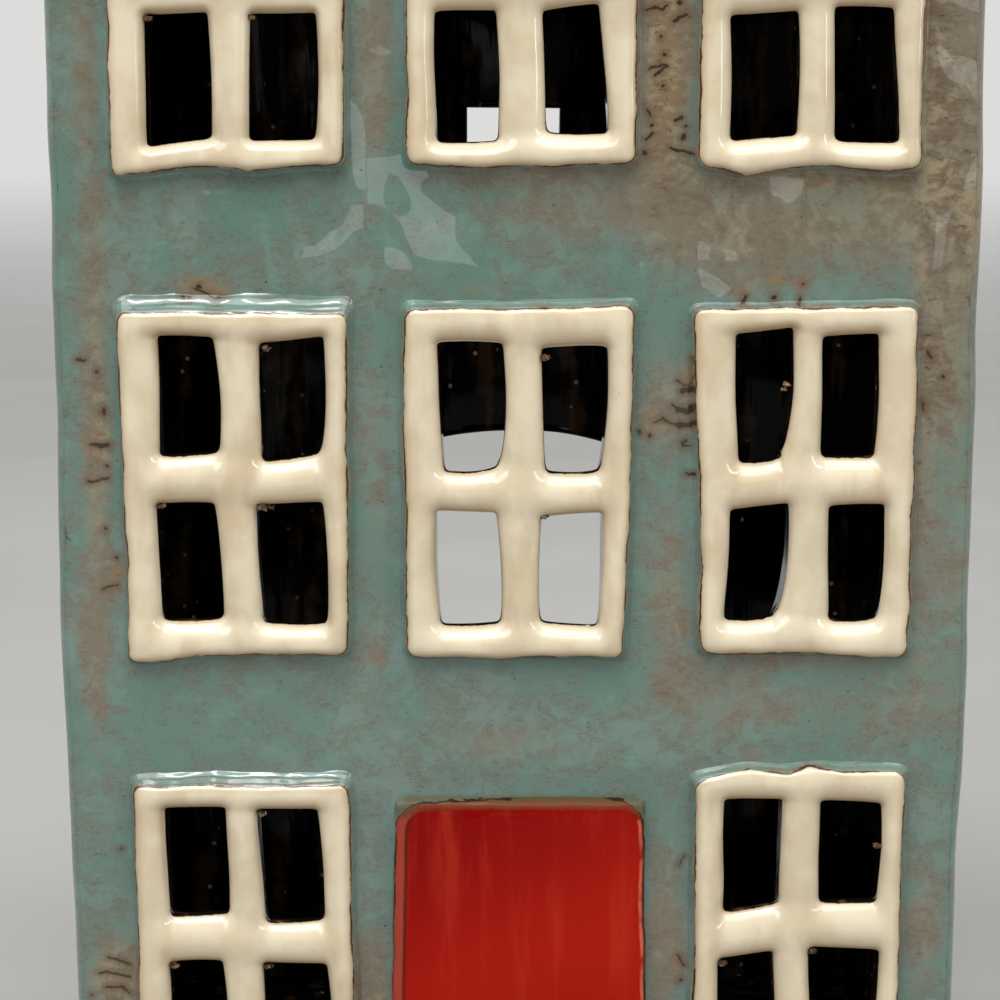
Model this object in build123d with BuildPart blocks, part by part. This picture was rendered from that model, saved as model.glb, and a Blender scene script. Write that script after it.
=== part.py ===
import os
from math import hypot

from build123d import *

os.makedirs("parts", exist_ok=True)

# A glazed stoneware house for one tealight, in millimetres. X runs to the right
# of its front, Y to its back and Z up from the table; the origin is under its middle.

# Body
body_width = 166.0
body_depth = 90.0
wall_thickness = 7.0
foot_inset = 1.2
foot_inset_height = 100.0
corner_radius = 2.6
base_thickness = 6.0
cut_overrun = 10.0

# Roof: two slabs mitred over the middle, with a rolled strip on the join
roof_rise = 45.0
roof_thickness = 6.0
eaves_overhang = 6.0
gable_overhang = 4.0
roof_edge_radius = 1.8
ridge_strip_width = 14.0
ridge_strip_thickness = 3.2

# Chimneys: square stacks astride the ridge, each with an open flue
chimney_width = 22.0
chimney_depth = 24.0
chimney_rise = 15.5
chimney_end_gap = 9.0
chimney_edge_radius = 1.4
flue_width = 11.0
flue_depth = 12.0
cap_projection = 2.2
cap_height = 6.0
cap_drop = 4.5

# Windows: frames of two by two panes, set in three columns on three floors. Each
# fills its hole in the wall and stands proud of it, with a margin that laps the hole.
# Their width is what the side margins and the two piers leave of the body's width
window_height = 64.0
side_margin = 11.4
pier_width = 11.0
floor_gap = 23.7
eaves_margin = 11.2
window_proud = 3.0
window_margin = 1.7
window_corner_radius = 2.4
window_edge_radius = 1.7
side_bar = 5.7
top_bar = 5.6
bottom_bar = 6.4
mullion_width = 7.3
rail_height = 8.9
pane_corner_radius = 2.2
pane_rim_radius = 1.3
column_shift = 0.65
ground_sill_height = 11.4

# Door: one raised panel where the ground floor has no middle window
door_extra_width = 9.0
door_shift = 1.2
door_foot_height = 3.0
door_top_height = 71.4
door_proud = 3.2
door_corner_radius = 2.4
door_edge_radius = 2.2

# Back wall: a tall arch that the tealight goes in by, and a square vent
arch_half_width = 32.0
arch_spring_height = 113.0
arch_rise = 13.5
threshold_drop = 0.5
vent_size = 19.5
vent_top_height = 194.0
vent_corner_radius = 1.5
opening_edge_radius = 1.2

# Tealight: foil cup, wax, wick and the tab that holds the wick upright
cup_base_diameter = 36.6
cup_top_diameter = 38.0
cup_height = 15.5
cup_wall = 0.3
cup_lip = 0.5
wax_gap = 0.1
wax_height = 12.6
wax_dish_depth = 1.1
wax_dish_diameter = 12.0
tab_diameter = 12.7
tab_thickness = 0.3
collar_diameter = 3.0
collar_height = 3.4
wick_diameter = 1.6
wick_bare_length = 7.5

# How each hand-cut window sits: its shift across and up as shares of the side
# bar, its width as a share of the window width, and its mullion's shift
window_shares = {
    ("ground", "left"): (0.12, -0.24, 0.962, 0.00),
    ("ground", "right"): (0.05, 0.24, 0.955, 0.12),
    ("first", "left"): (0.05, -0.07, 1.007, 0.12),
    ("first", "middle"): (0.00, 0.00, 0.993, 0.13),
    ("first", "right"): (0.02, 0.09, 0.970, 0.10),
    ("top", "left"): (-0.10, -0.04, 1.028, 0.22),
    ("top", "middle"): (0.00, 0.10, 1.020, 0.10),
    ("top", "right"): (-0.02, -0.04, 0.976, 0.16),
}
floors = ("ground", "first", "top")
columns = ("left", "middle", "right")

# Places that follow from the sizes above
half_width = body_width / 2
half_depth = body_depth / 2
inner_depth = body_depth - 2 * wall_thickness
column_count = len(columns)
floor_count = len(floors)
pier_total = (column_count - 1) * pier_width
window_width = (body_width - 2 * side_margin - pier_total) / column_count
window_spacing = window_width + pier_width
floor_height = window_height + floor_gap
door_width = window_width + door_extra_width
eaves_height = ground_sill_height + floor_count * floor_height - floor_gap + eaves_margin
ridge_height = eaves_height + roof_rise
roof_slope = roof_rise / half_depth
roof_plumb = roof_thickness * hypot(half_depth, roof_rise) / half_depth
roof_length = body_width + 2 * gable_overhang
chimney_top_height = ridge_height + roof_plumb + chimney_rise
pane_height = (window_height - top_bar - rail_height - bottom_bar) / 2
chimney_centre = roof_length / 2 - chimney_end_gap - chimney_width / 2
front_plane = Plane.XZ.offset(half_depth)
back_plane = Plane.XZ.offset(-half_depth)
inner_back_plane = Plane.XZ.offset(-inner_depth / 2)


def finish_part(builder, name):
    """Label a finished piece and write it under its own name."""
    builder.part.label = name
    export_step(builder.part, f"parts/{name}.step")


def roof_under(reach):
    """Height of the roof's underside at this distance from the middle."""
    return ridge_height - reach * roof_slope


def roof_over(reach):
    """Height of the roof's top face at this distance from the middle."""
    return roof_under(reach) + roof_plumb


def side_profile(side, inset):
    """One side of the body seen from the front, as points from foot to ridge."""
    across = half_width - inset
    return [
        (side * (across - foot_inset), 0),
        (side * across, foot_inset_height),
        (side * across, ridge_height),
    ]


def wall_outline(plane):
    """Outline of the front or back wall on its outer face, up to the ridge."""
    with BuildSketch(plane) as outline:
        with BuildLine():
            Polyline(*side_profile(-1, 0), *reversed(side_profile(1, 0)), close=True)
        make_face()
    return outline.sketch


def trim_to_roof():
    """Cut the active wall off along the roof's underside."""
    reach = half_depth + cut_overrun
    with BuildSketch(Plane.YZ) as above_walls:
        with BuildLine():
            Polyline(
                (-reach, roof_under(reach)),
                (0, ridge_height),
                (reach, roof_under(reach)),
                (reach, ridge_height + cut_overrun),
                (-reach, ridge_height + cut_overrun),
                close=True,
            )
        make_face()
    extrude(above_walls.sketch, amount=body_width, both=True, mode=Mode.SUBTRACT)


def round_wall_corners(outer_edges):
    """Round the two upright corners of the active wall's outer face."""
    by_side = outer_edges.sort_by(Axis.X)
    fillet(by_side[:2] + by_side[-2:], radius=corner_radius)


def window_place(floor, column):
    """A window's centre, foot and width, and the middle of its mullion."""
    across_share, up_share, width_share, mullion_share = window_shares[(floor, column)]
    centre_x = column_shift + (columns.index(column) - 1) * window_spacing
    centre_x += across_share * side_bar
    foot = ground_sill_height + floors.index(floor) * floor_height + up_share * side_bar
    mullion_x = centre_x + mullion_share * side_bar
    return centre_x, foot, window_width * width_share, mullion_x


def window_hole(floor, column):
    """The hole that a window's frame fills, drawn on the front face."""
    centre_x, foot, width, mullion_x = window_place(floor, column)
    with BuildSketch(front_plane) as hole:
        with Locations((centre_x, foot + window_height / 2)):
            Rectangle(width, window_height)
    return hole.sketch


# Front wall, with a hole for each of the eight windows
with BuildPart() as front_wall:
    extrude(wall_outline(front_plane), amount=-wall_thickness)
    trim_to_roof()
    round_wall_corners(front_wall.edges().group_by(Axis.Y)[0])
    for place in window_shares:
        extrude(window_hole(*place), amount=-wall_thickness, mode=Mode.SUBTRACT)
finish_part(front_wall, "front_wall")

# Back wall, with the arch down to the base and the vent on the top floor
with BuildPart() as back_wall:
    extrude(wall_outline(back_plane), amount=wall_thickness)
    trim_to_roof()
    round_wall_corners(back_wall.edges().group_by(Axis.Y)[-1])
    arch_foot = base_thickness - threshold_drop
    with BuildSketch(back_plane):
        with BuildLine():
            EllipticalCenterArc(
                (0, arch_spring_height), arch_half_width, arch_rise, start_angle=0, arc_size=180
            )
            Polyline(
                (-arch_half_width, arch_spring_height),
                (-arch_half_width, arch_foot),
                (arch_half_width, arch_foot),
                (arch_half_width, arch_spring_height),
            )
        make_face()
        with Locations((0, vent_top_height - vent_size / 2)):
            RectangleRounded(vent_size, vent_size, vent_corner_radius)
    extrude(amount=wall_thickness, mode=Mode.SUBTRACT)
    for face in back_wall.faces().filter_by(Axis.Y):
        for rim in face.inner_wires():
            fillet(rim.edges(), radius=opening_edge_radius)
finish_part(back_wall, "back_wall")

# Gable walls, which stand between the front and the back and reach the ridge
for side, name in ((-1, "left_wall"), (1, "right_wall")):
    with BuildPart() as gable_wall:
        with BuildSketch(inner_back_plane):
            with BuildLine():
                outside = side_profile(side, 0)
                inside = side_profile(side, wall_thickness)
                Polyline(*outside, *reversed(inside), close=True)
            make_face()
        extrude(amount=inner_depth)
        trim_to_roof()
    finish_part(gable_wall, name)

# Base, which closes the foot between the four walls
with BuildPart() as base:
    foot_reach = half_width - foot_inset - wall_thickness
    flare = foot_inset * base_thickness / foot_inset_height
    with BuildSketch(inner_back_plane):
        with BuildLine():
            Polyline(
                (-foot_reach, 0),
                (foot_reach, 0),
                (foot_reach + flare, base_thickness),
                (-foot_reach - flare, base_thickness),
                close=True,
            )
        make_face()
    extrude(amount=inner_depth)
finish_part(base, "base")

# Roof slabs, mitred at the ridge and open under each flue
for side, name in ((-1, "front_roof"), (1, "back_roof")):
    eaves_reach = half_depth + eaves_overhang
    with BuildPart() as roof_slab:
        with BuildSketch(Plane.YZ.offset(-roof_length / 2)):
            with BuildLine():
                Polyline(
                    (0, ridge_height),
                    (side * eaves_reach, roof_under(eaves_reach)),
                    (side * eaves_reach, roof_over(eaves_reach)),
                    (0, ridge_height + roof_plumb),
                    close=True,
                )
            make_face()
        extrude(amount=roof_length)
        outward = roof_slab.edges().filter_by(Axis.X).sort_by(Axis.Y)
        fillet(outward[-2:] if side > 0 else outward[:2], radius=roof_edge_radius)
        with BuildSketch(Plane.XY.offset(ridge_height - flue_depth)):
            with Locations((-chimney_centre, 0), (chimney_centre, 0)):
                Rectangle(flue_width, flue_depth)
        extrude(amount=roof_rise, mode=Mode.SUBTRACT)
    finish_part(roof_slab, name)

# Ridge strip, a roll of clay pressed over the join between the chimneys
with BuildPart() as ridge_strip:
    strip_reach = ridge_strip_width / 2
    strip_foot = roof_over(strip_reach)
    strip_length = 2 * chimney_centre - chimney_width
    with BuildSketch(Plane.YZ.offset(-strip_length / 2)):
        with BuildLine():
            Polyline((-strip_reach, strip_foot), (0, roof_over(0)), (strip_reach, strip_foot))
            ThreePointArc(
                (strip_reach, strip_foot),
                (0, roof_over(0) + ridge_strip_thickness),
                (-strip_reach, strip_foot),
            )
        make_face()
    extrude(amount=strip_length)
finish_part(ridge_strip, "ridge_strip")

# Chimneys: a stack with a projecting course near its top, cut to sit on the roof
for side, name in ((-1, "left_chimney"), (1, "right_chimney")):
    saddle_reach = chimney_depth / 2 + cut_overrun
    stack_foot = roof_over(saddle_reach)
    with BuildPart() as chimney:
        with BuildSketch(Plane.XY.offset(stack_foot)):
            with Locations((side * chimney_centre, 0)):
                Rectangle(chimney_width, chimney_depth)
        extrude(amount=chimney_top_height - stack_foot)
        fillet(chimney.edges().filter_by(Axis.Z), radius=chimney_edge_radius)
        with BuildSketch(Plane.XY.offset(chimney_top_height - cap_drop - cap_height)):
            with Locations((side * chimney_centre, 0)):
                RectangleRounded(
                    chimney_width + 2 * cap_projection,
                    chimney_depth + 2 * cap_projection,
                    chimney_edge_radius + cap_projection,
                )
        extrude(amount=cap_height)
        top_rim = chimney.faces().sort_by(Axis.Z)[-1].edges()
        fillet(top_rim, radius=chimney_edge_radius / 2)
        with BuildSketch(Plane.YZ):
            with BuildLine():
                Polyline(
                    (-saddle_reach, stack_foot),
                    (0, roof_over(0)),
                    (saddle_reach, stack_foot),
                    close=True,
                )
            make_face()
        extrude(amount=body_width, both=True, mode=Mode.SUBTRACT)
        with BuildSketch(Plane.XY.offset(stack_foot)):
            with Locations((side * chimney_centre, 0)):
                Rectangle(flue_width, flue_depth)
        extrude(amount=chimney_top_height - stack_foot, mode=Mode.SUBTRACT)
    finish_part(chimney, name)

# Window frames, each filling its hole, with a raised face that laps the wall
for floor, column in window_shares:
    centre_x, foot, width, mullion_x = window_place(floor, column)
    with BuildPart() as window:
        extrude(window_hole(floor, column), amount=-wall_thickness)
        with BuildSketch(front_plane):
            with Locations((centre_x, foot + window_height / 2)):
                RectangleRounded(
                    width + 2 * window_margin,
                    window_height + 2 * window_margin,
                    window_corner_radius,
                )
        extrude(amount=window_proud)
        lower = foot + bottom_bar + pane_height / 2
        upper = lower + pane_height + rail_height
        with BuildSketch(front_plane):
            for side in (-1, 1):
                outer = centre_x + side * (width / 2 - side_bar)
                inner = mullion_x + side * mullion_width / 2
                pane_x = (outer + inner) / 2
                with Locations((pane_x, lower), (pane_x, upper)):
                    RectangleRounded(abs(outer - inner), pane_height, pane_corner_radius)
        extrude(
            amount=max(wall_thickness, window_proud), both=True, mode=Mode.SUBTRACT
        )
        face = window.faces().sort_by(Axis.Y)[0]
        rims = [edge for wire in face.inner_wires() for edge in wire.edges()]
        fillet(face.outer_wire().edges(), radius=window_edge_radius)
        fillet(rims, radius=pane_rim_radius)
    finish_part(window, f"{floor}_{column}_window")

# Door panel
with BuildPart() as door:
    with BuildSketch(front_plane):
        with Locations((door_shift, (door_foot_height + door_top_height) / 2)):
            RectangleRounded(
                door_width, door_top_height - door_foot_height, door_corner_radius
            )
    extrude(amount=door_proud)
    fillet(door.faces().sort_by(Axis.Y)[0].edges(), radius=door_edge_radius)
finish_part(door, "door")

# Tealight, standing on the base in the middle of the house
cup_floor = base_thickness + cup_wall
wax_top = cup_floor + wax_height
cup_flare = (cup_top_diameter - cup_base_diameter) / 2
wick_radius = wick_diameter / 2

with BuildPart() as tealight_cup:
    with BuildSketch(Plane.XZ):
        with BuildLine():
            Polyline(
                (0, base_thickness),
                (cup_base_diameter / 2, base_thickness),
                (cup_top_diameter / 2, base_thickness + cup_height - cup_wall),
                (cup_top_diameter / 2 + cup_lip, base_thickness + cup_height - cup_wall),
                (cup_top_diameter / 2 + cup_lip, base_thickness + cup_height),
                (cup_top_diameter / 2 - cup_wall, base_thickness + cup_height),
                (cup_base_diameter / 2 - cup_wall, cup_floor),
                (0, cup_floor),
                close=True,
            )
        make_face()
    revolve(axis=Axis.Z)
finish_part(tealight_cup, "tealight_cup")

with BuildPart() as tealight_wax:
    wax_foot_radius = cup_base_diameter / 2 - cup_wall - wax_gap
    wax_top_radius = wax_foot_radius + cup_flare * wax_height / cup_height
    with BuildSketch(Plane.XZ):
        with BuildLine():
            Polyline(
                (tab_diameter / 2, cup_floor),
                (wax_foot_radius, cup_floor),
                (wax_top_radius, wax_top),
                (wax_dish_diameter / 2, wax_top),
                (wick_radius, wax_top - wax_dish_depth),
                (wick_radius, cup_floor + collar_height),
                (collar_diameter / 2, cup_floor + collar_height),
                (collar_diameter / 2, cup_floor + tab_thickness),
                (tab_diameter / 2, cup_floor + tab_thickness),
                close=True,
            )
        make_face()
    revolve(axis=Axis.Z)
finish_part(tealight_wax, "tealight_wax")

with BuildPart() as wick_tab:
    with BuildSketch(Plane.XZ):
        with BuildLine():
            Polyline(
                (0, cup_floor),
                (tab_diameter / 2, cup_floor),
                (tab_diameter / 2, cup_floor + tab_thickness),
                (collar_diameter / 2, cup_floor + tab_thickness),
                (collar_diameter / 2, cup_floor + collar_height),
                (wick_radius, cup_floor + collar_height),
                (wick_radius, cup_floor + tab_thickness),
                (0, cup_floor + tab_thickness),
                close=True,
            )
        make_face()
    revolve(axis=Axis.Z)
finish_part(wick_tab, "wick_tab")

with BuildPart() as tealight_wick:
    wick_foot = cup_floor + tab_thickness
    with BuildSketch(Plane.XY.offset(wick_foot)):
        Circle(wick_radius)
    extrude(amount=wax_top + wick_bare_length - wick_foot)
    fillet(tealight_wick.faces().sort_by(Axis.Z)[-1].edges(), radius=wick_radius / 2)
finish_part(tealight_wick, "tealight_wick")
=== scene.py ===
import math
import random

import bmesh
import bpy
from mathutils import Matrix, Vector


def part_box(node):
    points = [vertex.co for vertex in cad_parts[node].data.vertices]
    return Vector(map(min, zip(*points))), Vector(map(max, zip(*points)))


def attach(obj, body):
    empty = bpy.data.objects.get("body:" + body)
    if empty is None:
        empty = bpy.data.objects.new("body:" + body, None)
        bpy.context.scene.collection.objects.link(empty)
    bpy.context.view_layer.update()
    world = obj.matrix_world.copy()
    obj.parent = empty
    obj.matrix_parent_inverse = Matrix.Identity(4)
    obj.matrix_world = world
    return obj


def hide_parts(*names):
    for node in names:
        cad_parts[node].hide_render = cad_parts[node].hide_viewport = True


# A hand-built stoneware house for one tealight, under glossy coloured glazes.
# Metres, X to the right of its front, Y to its back, Z up from the table.

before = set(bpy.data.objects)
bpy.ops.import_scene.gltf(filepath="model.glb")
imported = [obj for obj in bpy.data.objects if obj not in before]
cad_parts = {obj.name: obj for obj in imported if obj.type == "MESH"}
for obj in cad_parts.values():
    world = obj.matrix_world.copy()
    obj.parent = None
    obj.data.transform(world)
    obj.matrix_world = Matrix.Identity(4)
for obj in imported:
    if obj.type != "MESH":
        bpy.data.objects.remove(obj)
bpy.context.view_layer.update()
scene = bpy.context.scene
random.seed(7)
mm = 0.001
print("frame loaded:", len(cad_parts), "nodes")

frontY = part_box("front_wall")[0].y
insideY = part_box("left_wall")[0].y
wallThick = insideY - frontY
halfWidth = -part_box("left_wall")[0].x
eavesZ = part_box("front_wall")[1].z
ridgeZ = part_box("left_wall")[1].z
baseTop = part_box("base")[1].z
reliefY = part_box("door")[0].y


# Helpers for modelling

def begin():
    if bpy.context.mode != "OBJECT":
        bpy.ops.object.mode_set(mode="OBJECT")
    bpy.ops.object.select_all(action="DESELECT")


def workOn(obj):
    begin()
    obj.select_set(True)
    bpy.context.view_layer.objects.active = obj


def named(name):
    obj = bpy.context.object
    obj.name = name
    obj.data.name = name
    return obj


def choose(obj, kind, test):
    # in edit mode, picks the vertices, edges or faces that pass the test
    bpy.ops.mesh.select_mode(type=kind)
    bpy.ops.mesh.select_all(action="DESELECT")
    mesh = bmesh.from_edit_mesh(obj.data)
    for part in {"VERT": mesh.verts, "EDGE": mesh.edges, "FACE": mesh.faces}[kind]:
        part.select_set(test(part))
    bmesh.update_edit_mesh(obj.data)


def middle(part):
    if isinstance(part, bmesh.types.BMFace):
        return part.calc_center_median()
    return (part.verts[0].co + part.verts[1].co) / 2


def extrudeBy(step):
    bpy.ops.mesh.extrude_region_move(TRANSFORM_OT_translate={"value": step})


def moveVerts(obj, place):
    for vert in obj.data.vertices:
        vert.co = place(vert.co)
    obj.data.update()


def applyAll(obj):
    workOn(obj)
    for modifier in list(obj.modifiers):
        bpy.ops.object.modifier_apply(modifier=modifier.name)


def addModifier(obj, kind, **settings):
    modifier = obj.modifiers.new(kind.lower(), kind)
    for name, value in settings.items():
        setattr(modifier, name, value)
    return modifier


def gridPanel(name, size, cell, centre, turn):
    # an upright sheet of even cells, facing -Y before it is turned about Z
    begin()
    bpy.ops.mesh.primitive_grid_add(
        x_subdivisions=round(size[0] / cell), y_subdivisions=round(size[1] / cell),
        size=1, location=centre, rotation=(math.pi / 2, 0, turn))
    panel = named(name)
    panel.scale = (size[0], size[1], 1)
    bpy.ops.object.transform_apply(location=True, rotation=True, scale=True)
    return panel


def cloudsOf(name, size):
    texture = bpy.data.textures.new(name, "CLOUDS")
    texture.cloud_type = "COLOR"
    texture.noise_scale = size
    texture.noise_depth = 1
    return texture


def uneven(obj, texture, strength, **settings):
    addModifier(obj, "DISPLACE", texture=texture, texture_coords="GLOBAL", direction="RGB_TO_XYZ",
                mid_level=0.5, strength=strength, **settings)
    applyAll(obj)


clayUneven = cloudsOf("clayUneven", 26 * mm)


def handMade(obj, strength=1.3 * mm):
    # one uneven field over all the clay, so that neighbours stay flush
    uneven(obj, clayUneven, strength)


def setShading(obj, angle):
    workOn(obj)
    bpy.ops.object.shade_smooth_by_angle(angle=math.radians(angle))


def paintList(obj, name, values):
    layer = obj.data.attributes.new(name, "FLOAT", "POINT")
    layer.data.foreach_set("value", values)


def paintValue(obj, name, valueAt):
    paintList(obj, name, [valueAt(v.co) for v in obj.data.vertices])


def finishPiece(obj, node, body, slotName, materials, slotOf=None):
    for material in materials:
        obj.data.materials.append(material)
    if slotOf:
        for face in obj.data.polygons:
            face.material_index = slotOf(face)
    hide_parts(node)
    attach(obj, body)


def easeBetween(value, low, high):
    share = min(max((value - low) / (high - low), 0), 1)
    return share * share * (3 - 2 * share)


roofSlope = (ridgeZ - eavesZ) / -insideY


def roofUnder(reach):
    return ridgeZ - abs(reach) * roofSlope


# Shader helpers

def addNode(tree, kind, settings=None, inputs=None):
    node = tree.nodes.new("ShaderNode" + kind)
    for name, value in (settings or {}).items():
        setattr(node, name, value)
    for name, value in (inputs or {}).items():
        if isinstance(value, bpy.types.NodeSocket):
            tree.links.new(value, node.inputs[name])
        else:
            node.inputs[name].default_value = value
    return node


def newMaterial(name, sockets):
    material = bpy.data.materials.new(name)
    material.use_nodes = True
    tree = material.node_tree
    tree.nodes.clear()
    shader = addNode(tree, "BsdfPrincipled", None, sockets)
    out = addNode(tree, "OutputMaterial")
    tree.links.new(shader.outputs[0], out.inputs[0])
    return material, tree, shader


def placeOf(tree):
    return addNode(tree, "TexCoord").outputs["Object"]


def squeezed(tree, place, share):
    # a pattern's place, its height scaled by the share: under 1 draws the pattern out upwards
    return addNode(tree, "Mapping", None, {"Vector": place, "Scale": (1, 1, share)}).outputs[0]


def axisOf(tree, place, axis):
    return addNode(tree, "SeparateXYZ", None, {"Vector": place}).outputs[axis]


def dotsOf(tree, place, size):
    return addNode(tree, "TexVoronoi", None, {"Vector": place, "Scale": 1 / size}).outputs


def noiseOf(tree, place, size, detail=3.0, rough=0.5, warp=0.0):
    return addNode(tree, "TexNoise", None, {
        "Vector": place, "Scale": 1 / size, "Detail": detail,
        "Roughness": rough, "Distortion": warp}).outputs[0]


def easeOf(tree, value, low, high, toLow=0.0, toHigh=1.0):
    return addNode(tree, "MapRange", {"interpolation_type": "SMOOTHSTEP"}, {
        "Value": value, "From Min": low, "From Max": high,
        "To Min": toLow, "To Max": toHigh}).outputs[0]


def mathOf(tree, operation, first, second):
    return addNode(tree, "Math", {"operation": operation}, {0: first, 1: second}).outputs[0]


def timesOf(tree, first, second):
    return mathOf(tree, "MULTIPLY", first, second)


def sumOf(tree, *terms):
    # terms are (socket, gain); adds the sockets up with their gains
    total = 0.0
    for socket, gain in terms:
        total = addNode(tree, "Math", {"operation": "MULTIPLY_ADD"},
                        {0: socket, 1: gain, 2: total}).outputs[0]
    return total


def blendOf(tree, factor, first, second, mode="MIX"):
    node = addNode(tree, "Mix", {"data_type": "RGBA", "blend_type": mode, "clamp_factor": True},
                   {0: factor, 6: colour(first), 7: colour(second)})
    return node.outputs[2]


def colour(value):
    return value if isinstance(value, bpy.types.NodeSocket) else (*value, 1.0)


def attributeOf(tree, name):
    return addNode(tree, "Attribute", {"attribute_name": name}).outputs["Fac"]


def finishLook(tree, shader, base=None, height=None, rough=None):
    # links a colour, a height in millimetres and a roughness to the shader
    if height:
        height = addNode(tree, "Bump", None, {"Height": height, "Distance": mm}).outputs[0]
    for socket, name in ((base, "Base Color"), (height, "Normal"), (rough, "Roughness")):
        if socket:
            tree.links.new(socket, shader.inputs[name])


# Glazes. Sizes in metres, colours linear

tealLook = {
    "teal": (0.112, 0.196, 0.156), "grey": (0.138, 0.172, 0.138),
    "dull": (0.166, 0.166, 0.126), "pale": (0.168, 0.250, 0.212),
    "poolAndLight": (0.165, 0.275, 0.252), "taupe": (0.182, 0.146, 0.098), "taupePale": (0.290, 0.232, 0.142),
    "rust": (0.132, 0.076, 0.038), "ochre": (0.235, 0.160, 0.082), "mark": (0.020, 0.010, 0.004),
    "stroke": (0.060, 0.078, 0.058), "patch": 20 * mm, "mottle": 4.2 * mm, "grain": 0.9 * mm,
    "strokes": 2.6 * mm, "curls": 4.4 * mm, "dots": 3.4 * mm, "flatten": 2.4, "wornEdge": 2.2 * mm,
    "grainTone": (0.47, 0.47, 0.47), "rough": (0.12, 0.22), "specular": 0.25, "coat": 0.80,
    "coatRough": 0.012,
}
# the glossy surface: sizes, and heights in millimetres
waveLook = {"swell": 8 * mm, "swellHeight": 0.34, "ripple": 3.4 * mm, "rippleHeight": 0.004}


def waveHeight(tree, place, gain=1.0):
    swell = noiseOf(tree, place, waveLook["swell"], 1.0, 0.4, 0.3)
    ripple = noiseOf(tree, place, waveLook["ripple"], 2.0, 0.5)
    return sumOf(tree, (swell, gain * waveLook["swellHeight"]), (ripple, gain * waveLook["rippleHeight"]))


def contourOf(tree, value, level, thin, wide):
    # a thin line along one level of a noise
    return easeOf(tree, mathOf(tree, "ABSOLUTE", sumOf(tree, (value, 1.0), (1.0, -level)), 0.0),
                  thin, wide, 1.0, 0.0)


# Dark cracks and pits read off on the front: points of across, up and half width, in mm
glazeCracks = (
    ((30.1, 147.0, 0.25), (30.9, 147.1, 0.5), (32.0, 147.5, 0.35)),
    ((29.2, 148.9, 0.12), (30.3, 148.0, 0.1)),
    ((30.3, 148.1, 0.08), (31.4, 148.2, 0.1), (32.1, 150.0, 0.08), (31.6, 153.2, 0.1)),
    ((28.3, 144.3, 0.08), (29.5, 143.6, 0.28), (31.0, 143.2, 0.45), (32.2, 144.4, 0.3)),
    ((24.8, 141.1, 0.08), (26.6, 141.9, 0.12), (28.9, 140.7, 0.12), (29.6, 140.6, 0.38),
     (31.3, 140.9, 0.42), (32.4, 141.5, 0.15)),
    ((30.9, 137.9, 0.12), (30.1, 137.6, 0.18), (30.4, 136.9, 0.2), (31.3, 136.9, 0.12)),
    ((31.0, 131.9, 0.18), (32.3, 131.8, 0.22)), ((22.5, 139.4, 0.3),), ((24.3, 138.8, 0.28),),
    ((-59.2, 163.7, 0.28),), ((-58.1, 163.7, 0.32),), ((-57.0, 165.3, 0.12), (-53.0, 163.5, 0.14)),
    ((-56.3, 165.6, 0.28),), ((-52.9, 163.7, 0.34),), ((40.4, 162.9, 0.22), (41.0, 163.9, 0.14)),
    ((46.1, 163.8, 0.34),), ((50.5, 162.7, 0.3), (50.9, 163.5, 0.22)), ((51.3, 166.1, 0.16),),
    ((73.8, 153.9, 0.12), (74.6, 152.9, 0.24)), ((76.7, 149.5, 0.24),),
    ((73.2, 157.0, 0.1), (74.3, 157.1, 0.05)), ((73.1, 145.0, 0.1), (73.6, 143.2, 0.12)),
    ((23.0, 214.2, 0.1), (24.4, 214.6, 0.14), (25.7, 214.2, 0.2), (26.4, 214.9, 0.14)),
    ((27.8, 212.3, 0.24), (28.6, 213.0, 0.22), (30.0, 213.4, 0.08)), ((28.8, 215.6, 0.34),),
    ((25.4, 209.5, 0.22),), ((26.2, 206.6, 0.22),), ((24.6, 203.1, 0.2), (26.6, 204.6, 0.2)),
    ((23.5, 204.1, 0.08), (26.5, 204.8, 0.14)), ((26.0, 201.1, 0.2),),
    ((23.1, 197.0, 0.12), (23.9, 196.0, 0.2)), ((28.2, 195.1, 0.28), (29.2, 195.5, 0.14)),
    ((24.2, 194.2, 0.24),), ((24.1, 192.7, 0.18), (23.1, 191.8, 0.16)), ((29.6, 192.2, 0.36),),
    ((30.0, 194.1, 0.16),), ((27.4, 190.1, 0.22), (29.2, 189.8, 0.16), (31.5, 189.3, 0.1)),
    ((23.0, 189.3, 0.3),), ((-78.6, 152.6, 0.14), (-77.2, 152.4, 0.16)), ((-75.0, 150.3, 0.2),),
    ((-74.0, 143.7, 0.12), (-74.0, 142.8, 0.24)),
    ((-76.3, 137.2, 0.1), (-74.6, 137.0, 0.3), (-73.3, 137.0, 0.22)), ((-73.6, 133.2, 0.18),),
    ((-77.0, 130.6, 0.08), (-76.0, 130.3, 0.22), (-73.4, 131.1, 0.08)), ((-74.3, 121.7, 0.18),),
    ((-75.0, 110.5, 0.08), (-72.4, 111.2, 0.16)), ((-72.2, 116.5, 0.18),),
    ((-75.8, 40.2, 0.2), (-73.2, 39.6, 0.14), (-71.7, 39.0, 0.1)),
    ((-77.5, 37.3, 0.14), (-76.0, 37.3, 0.26), (-72.9, 36.8, 0.12), (-71.9, 36.4, 0.22)),
    ((-76.3, 34.5, 0.22), (-73.3, 34.5, 0.08), (-72.0, 33.4, 0.2)), ((-79.0, 33.0, 0.16),),
    ((-75.4, 31.5, 0.24), (-74.0, 31.6, 0.12)), ((-72.6, 61.4, 0.18),),
    ((30.4, 40.8, 0.14), (31.0, 39.6, 0.12), (31.7, 38.7, 0.22)), ((31.0, 35.9, 0.2),),
    ((30.5, 58.2, 0.1), (31.5, 59.9, 0.08)),
)
crackLook = {"width": 1.35, "shake": 1.1 * mm, "shakeSize": 1.3 * mm, "frontOnly": (-36 * mm, -30 * mm),
             "halo": 1.4 * mm, "core": (-0.12 * mm, 0.18 * mm)}


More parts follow.
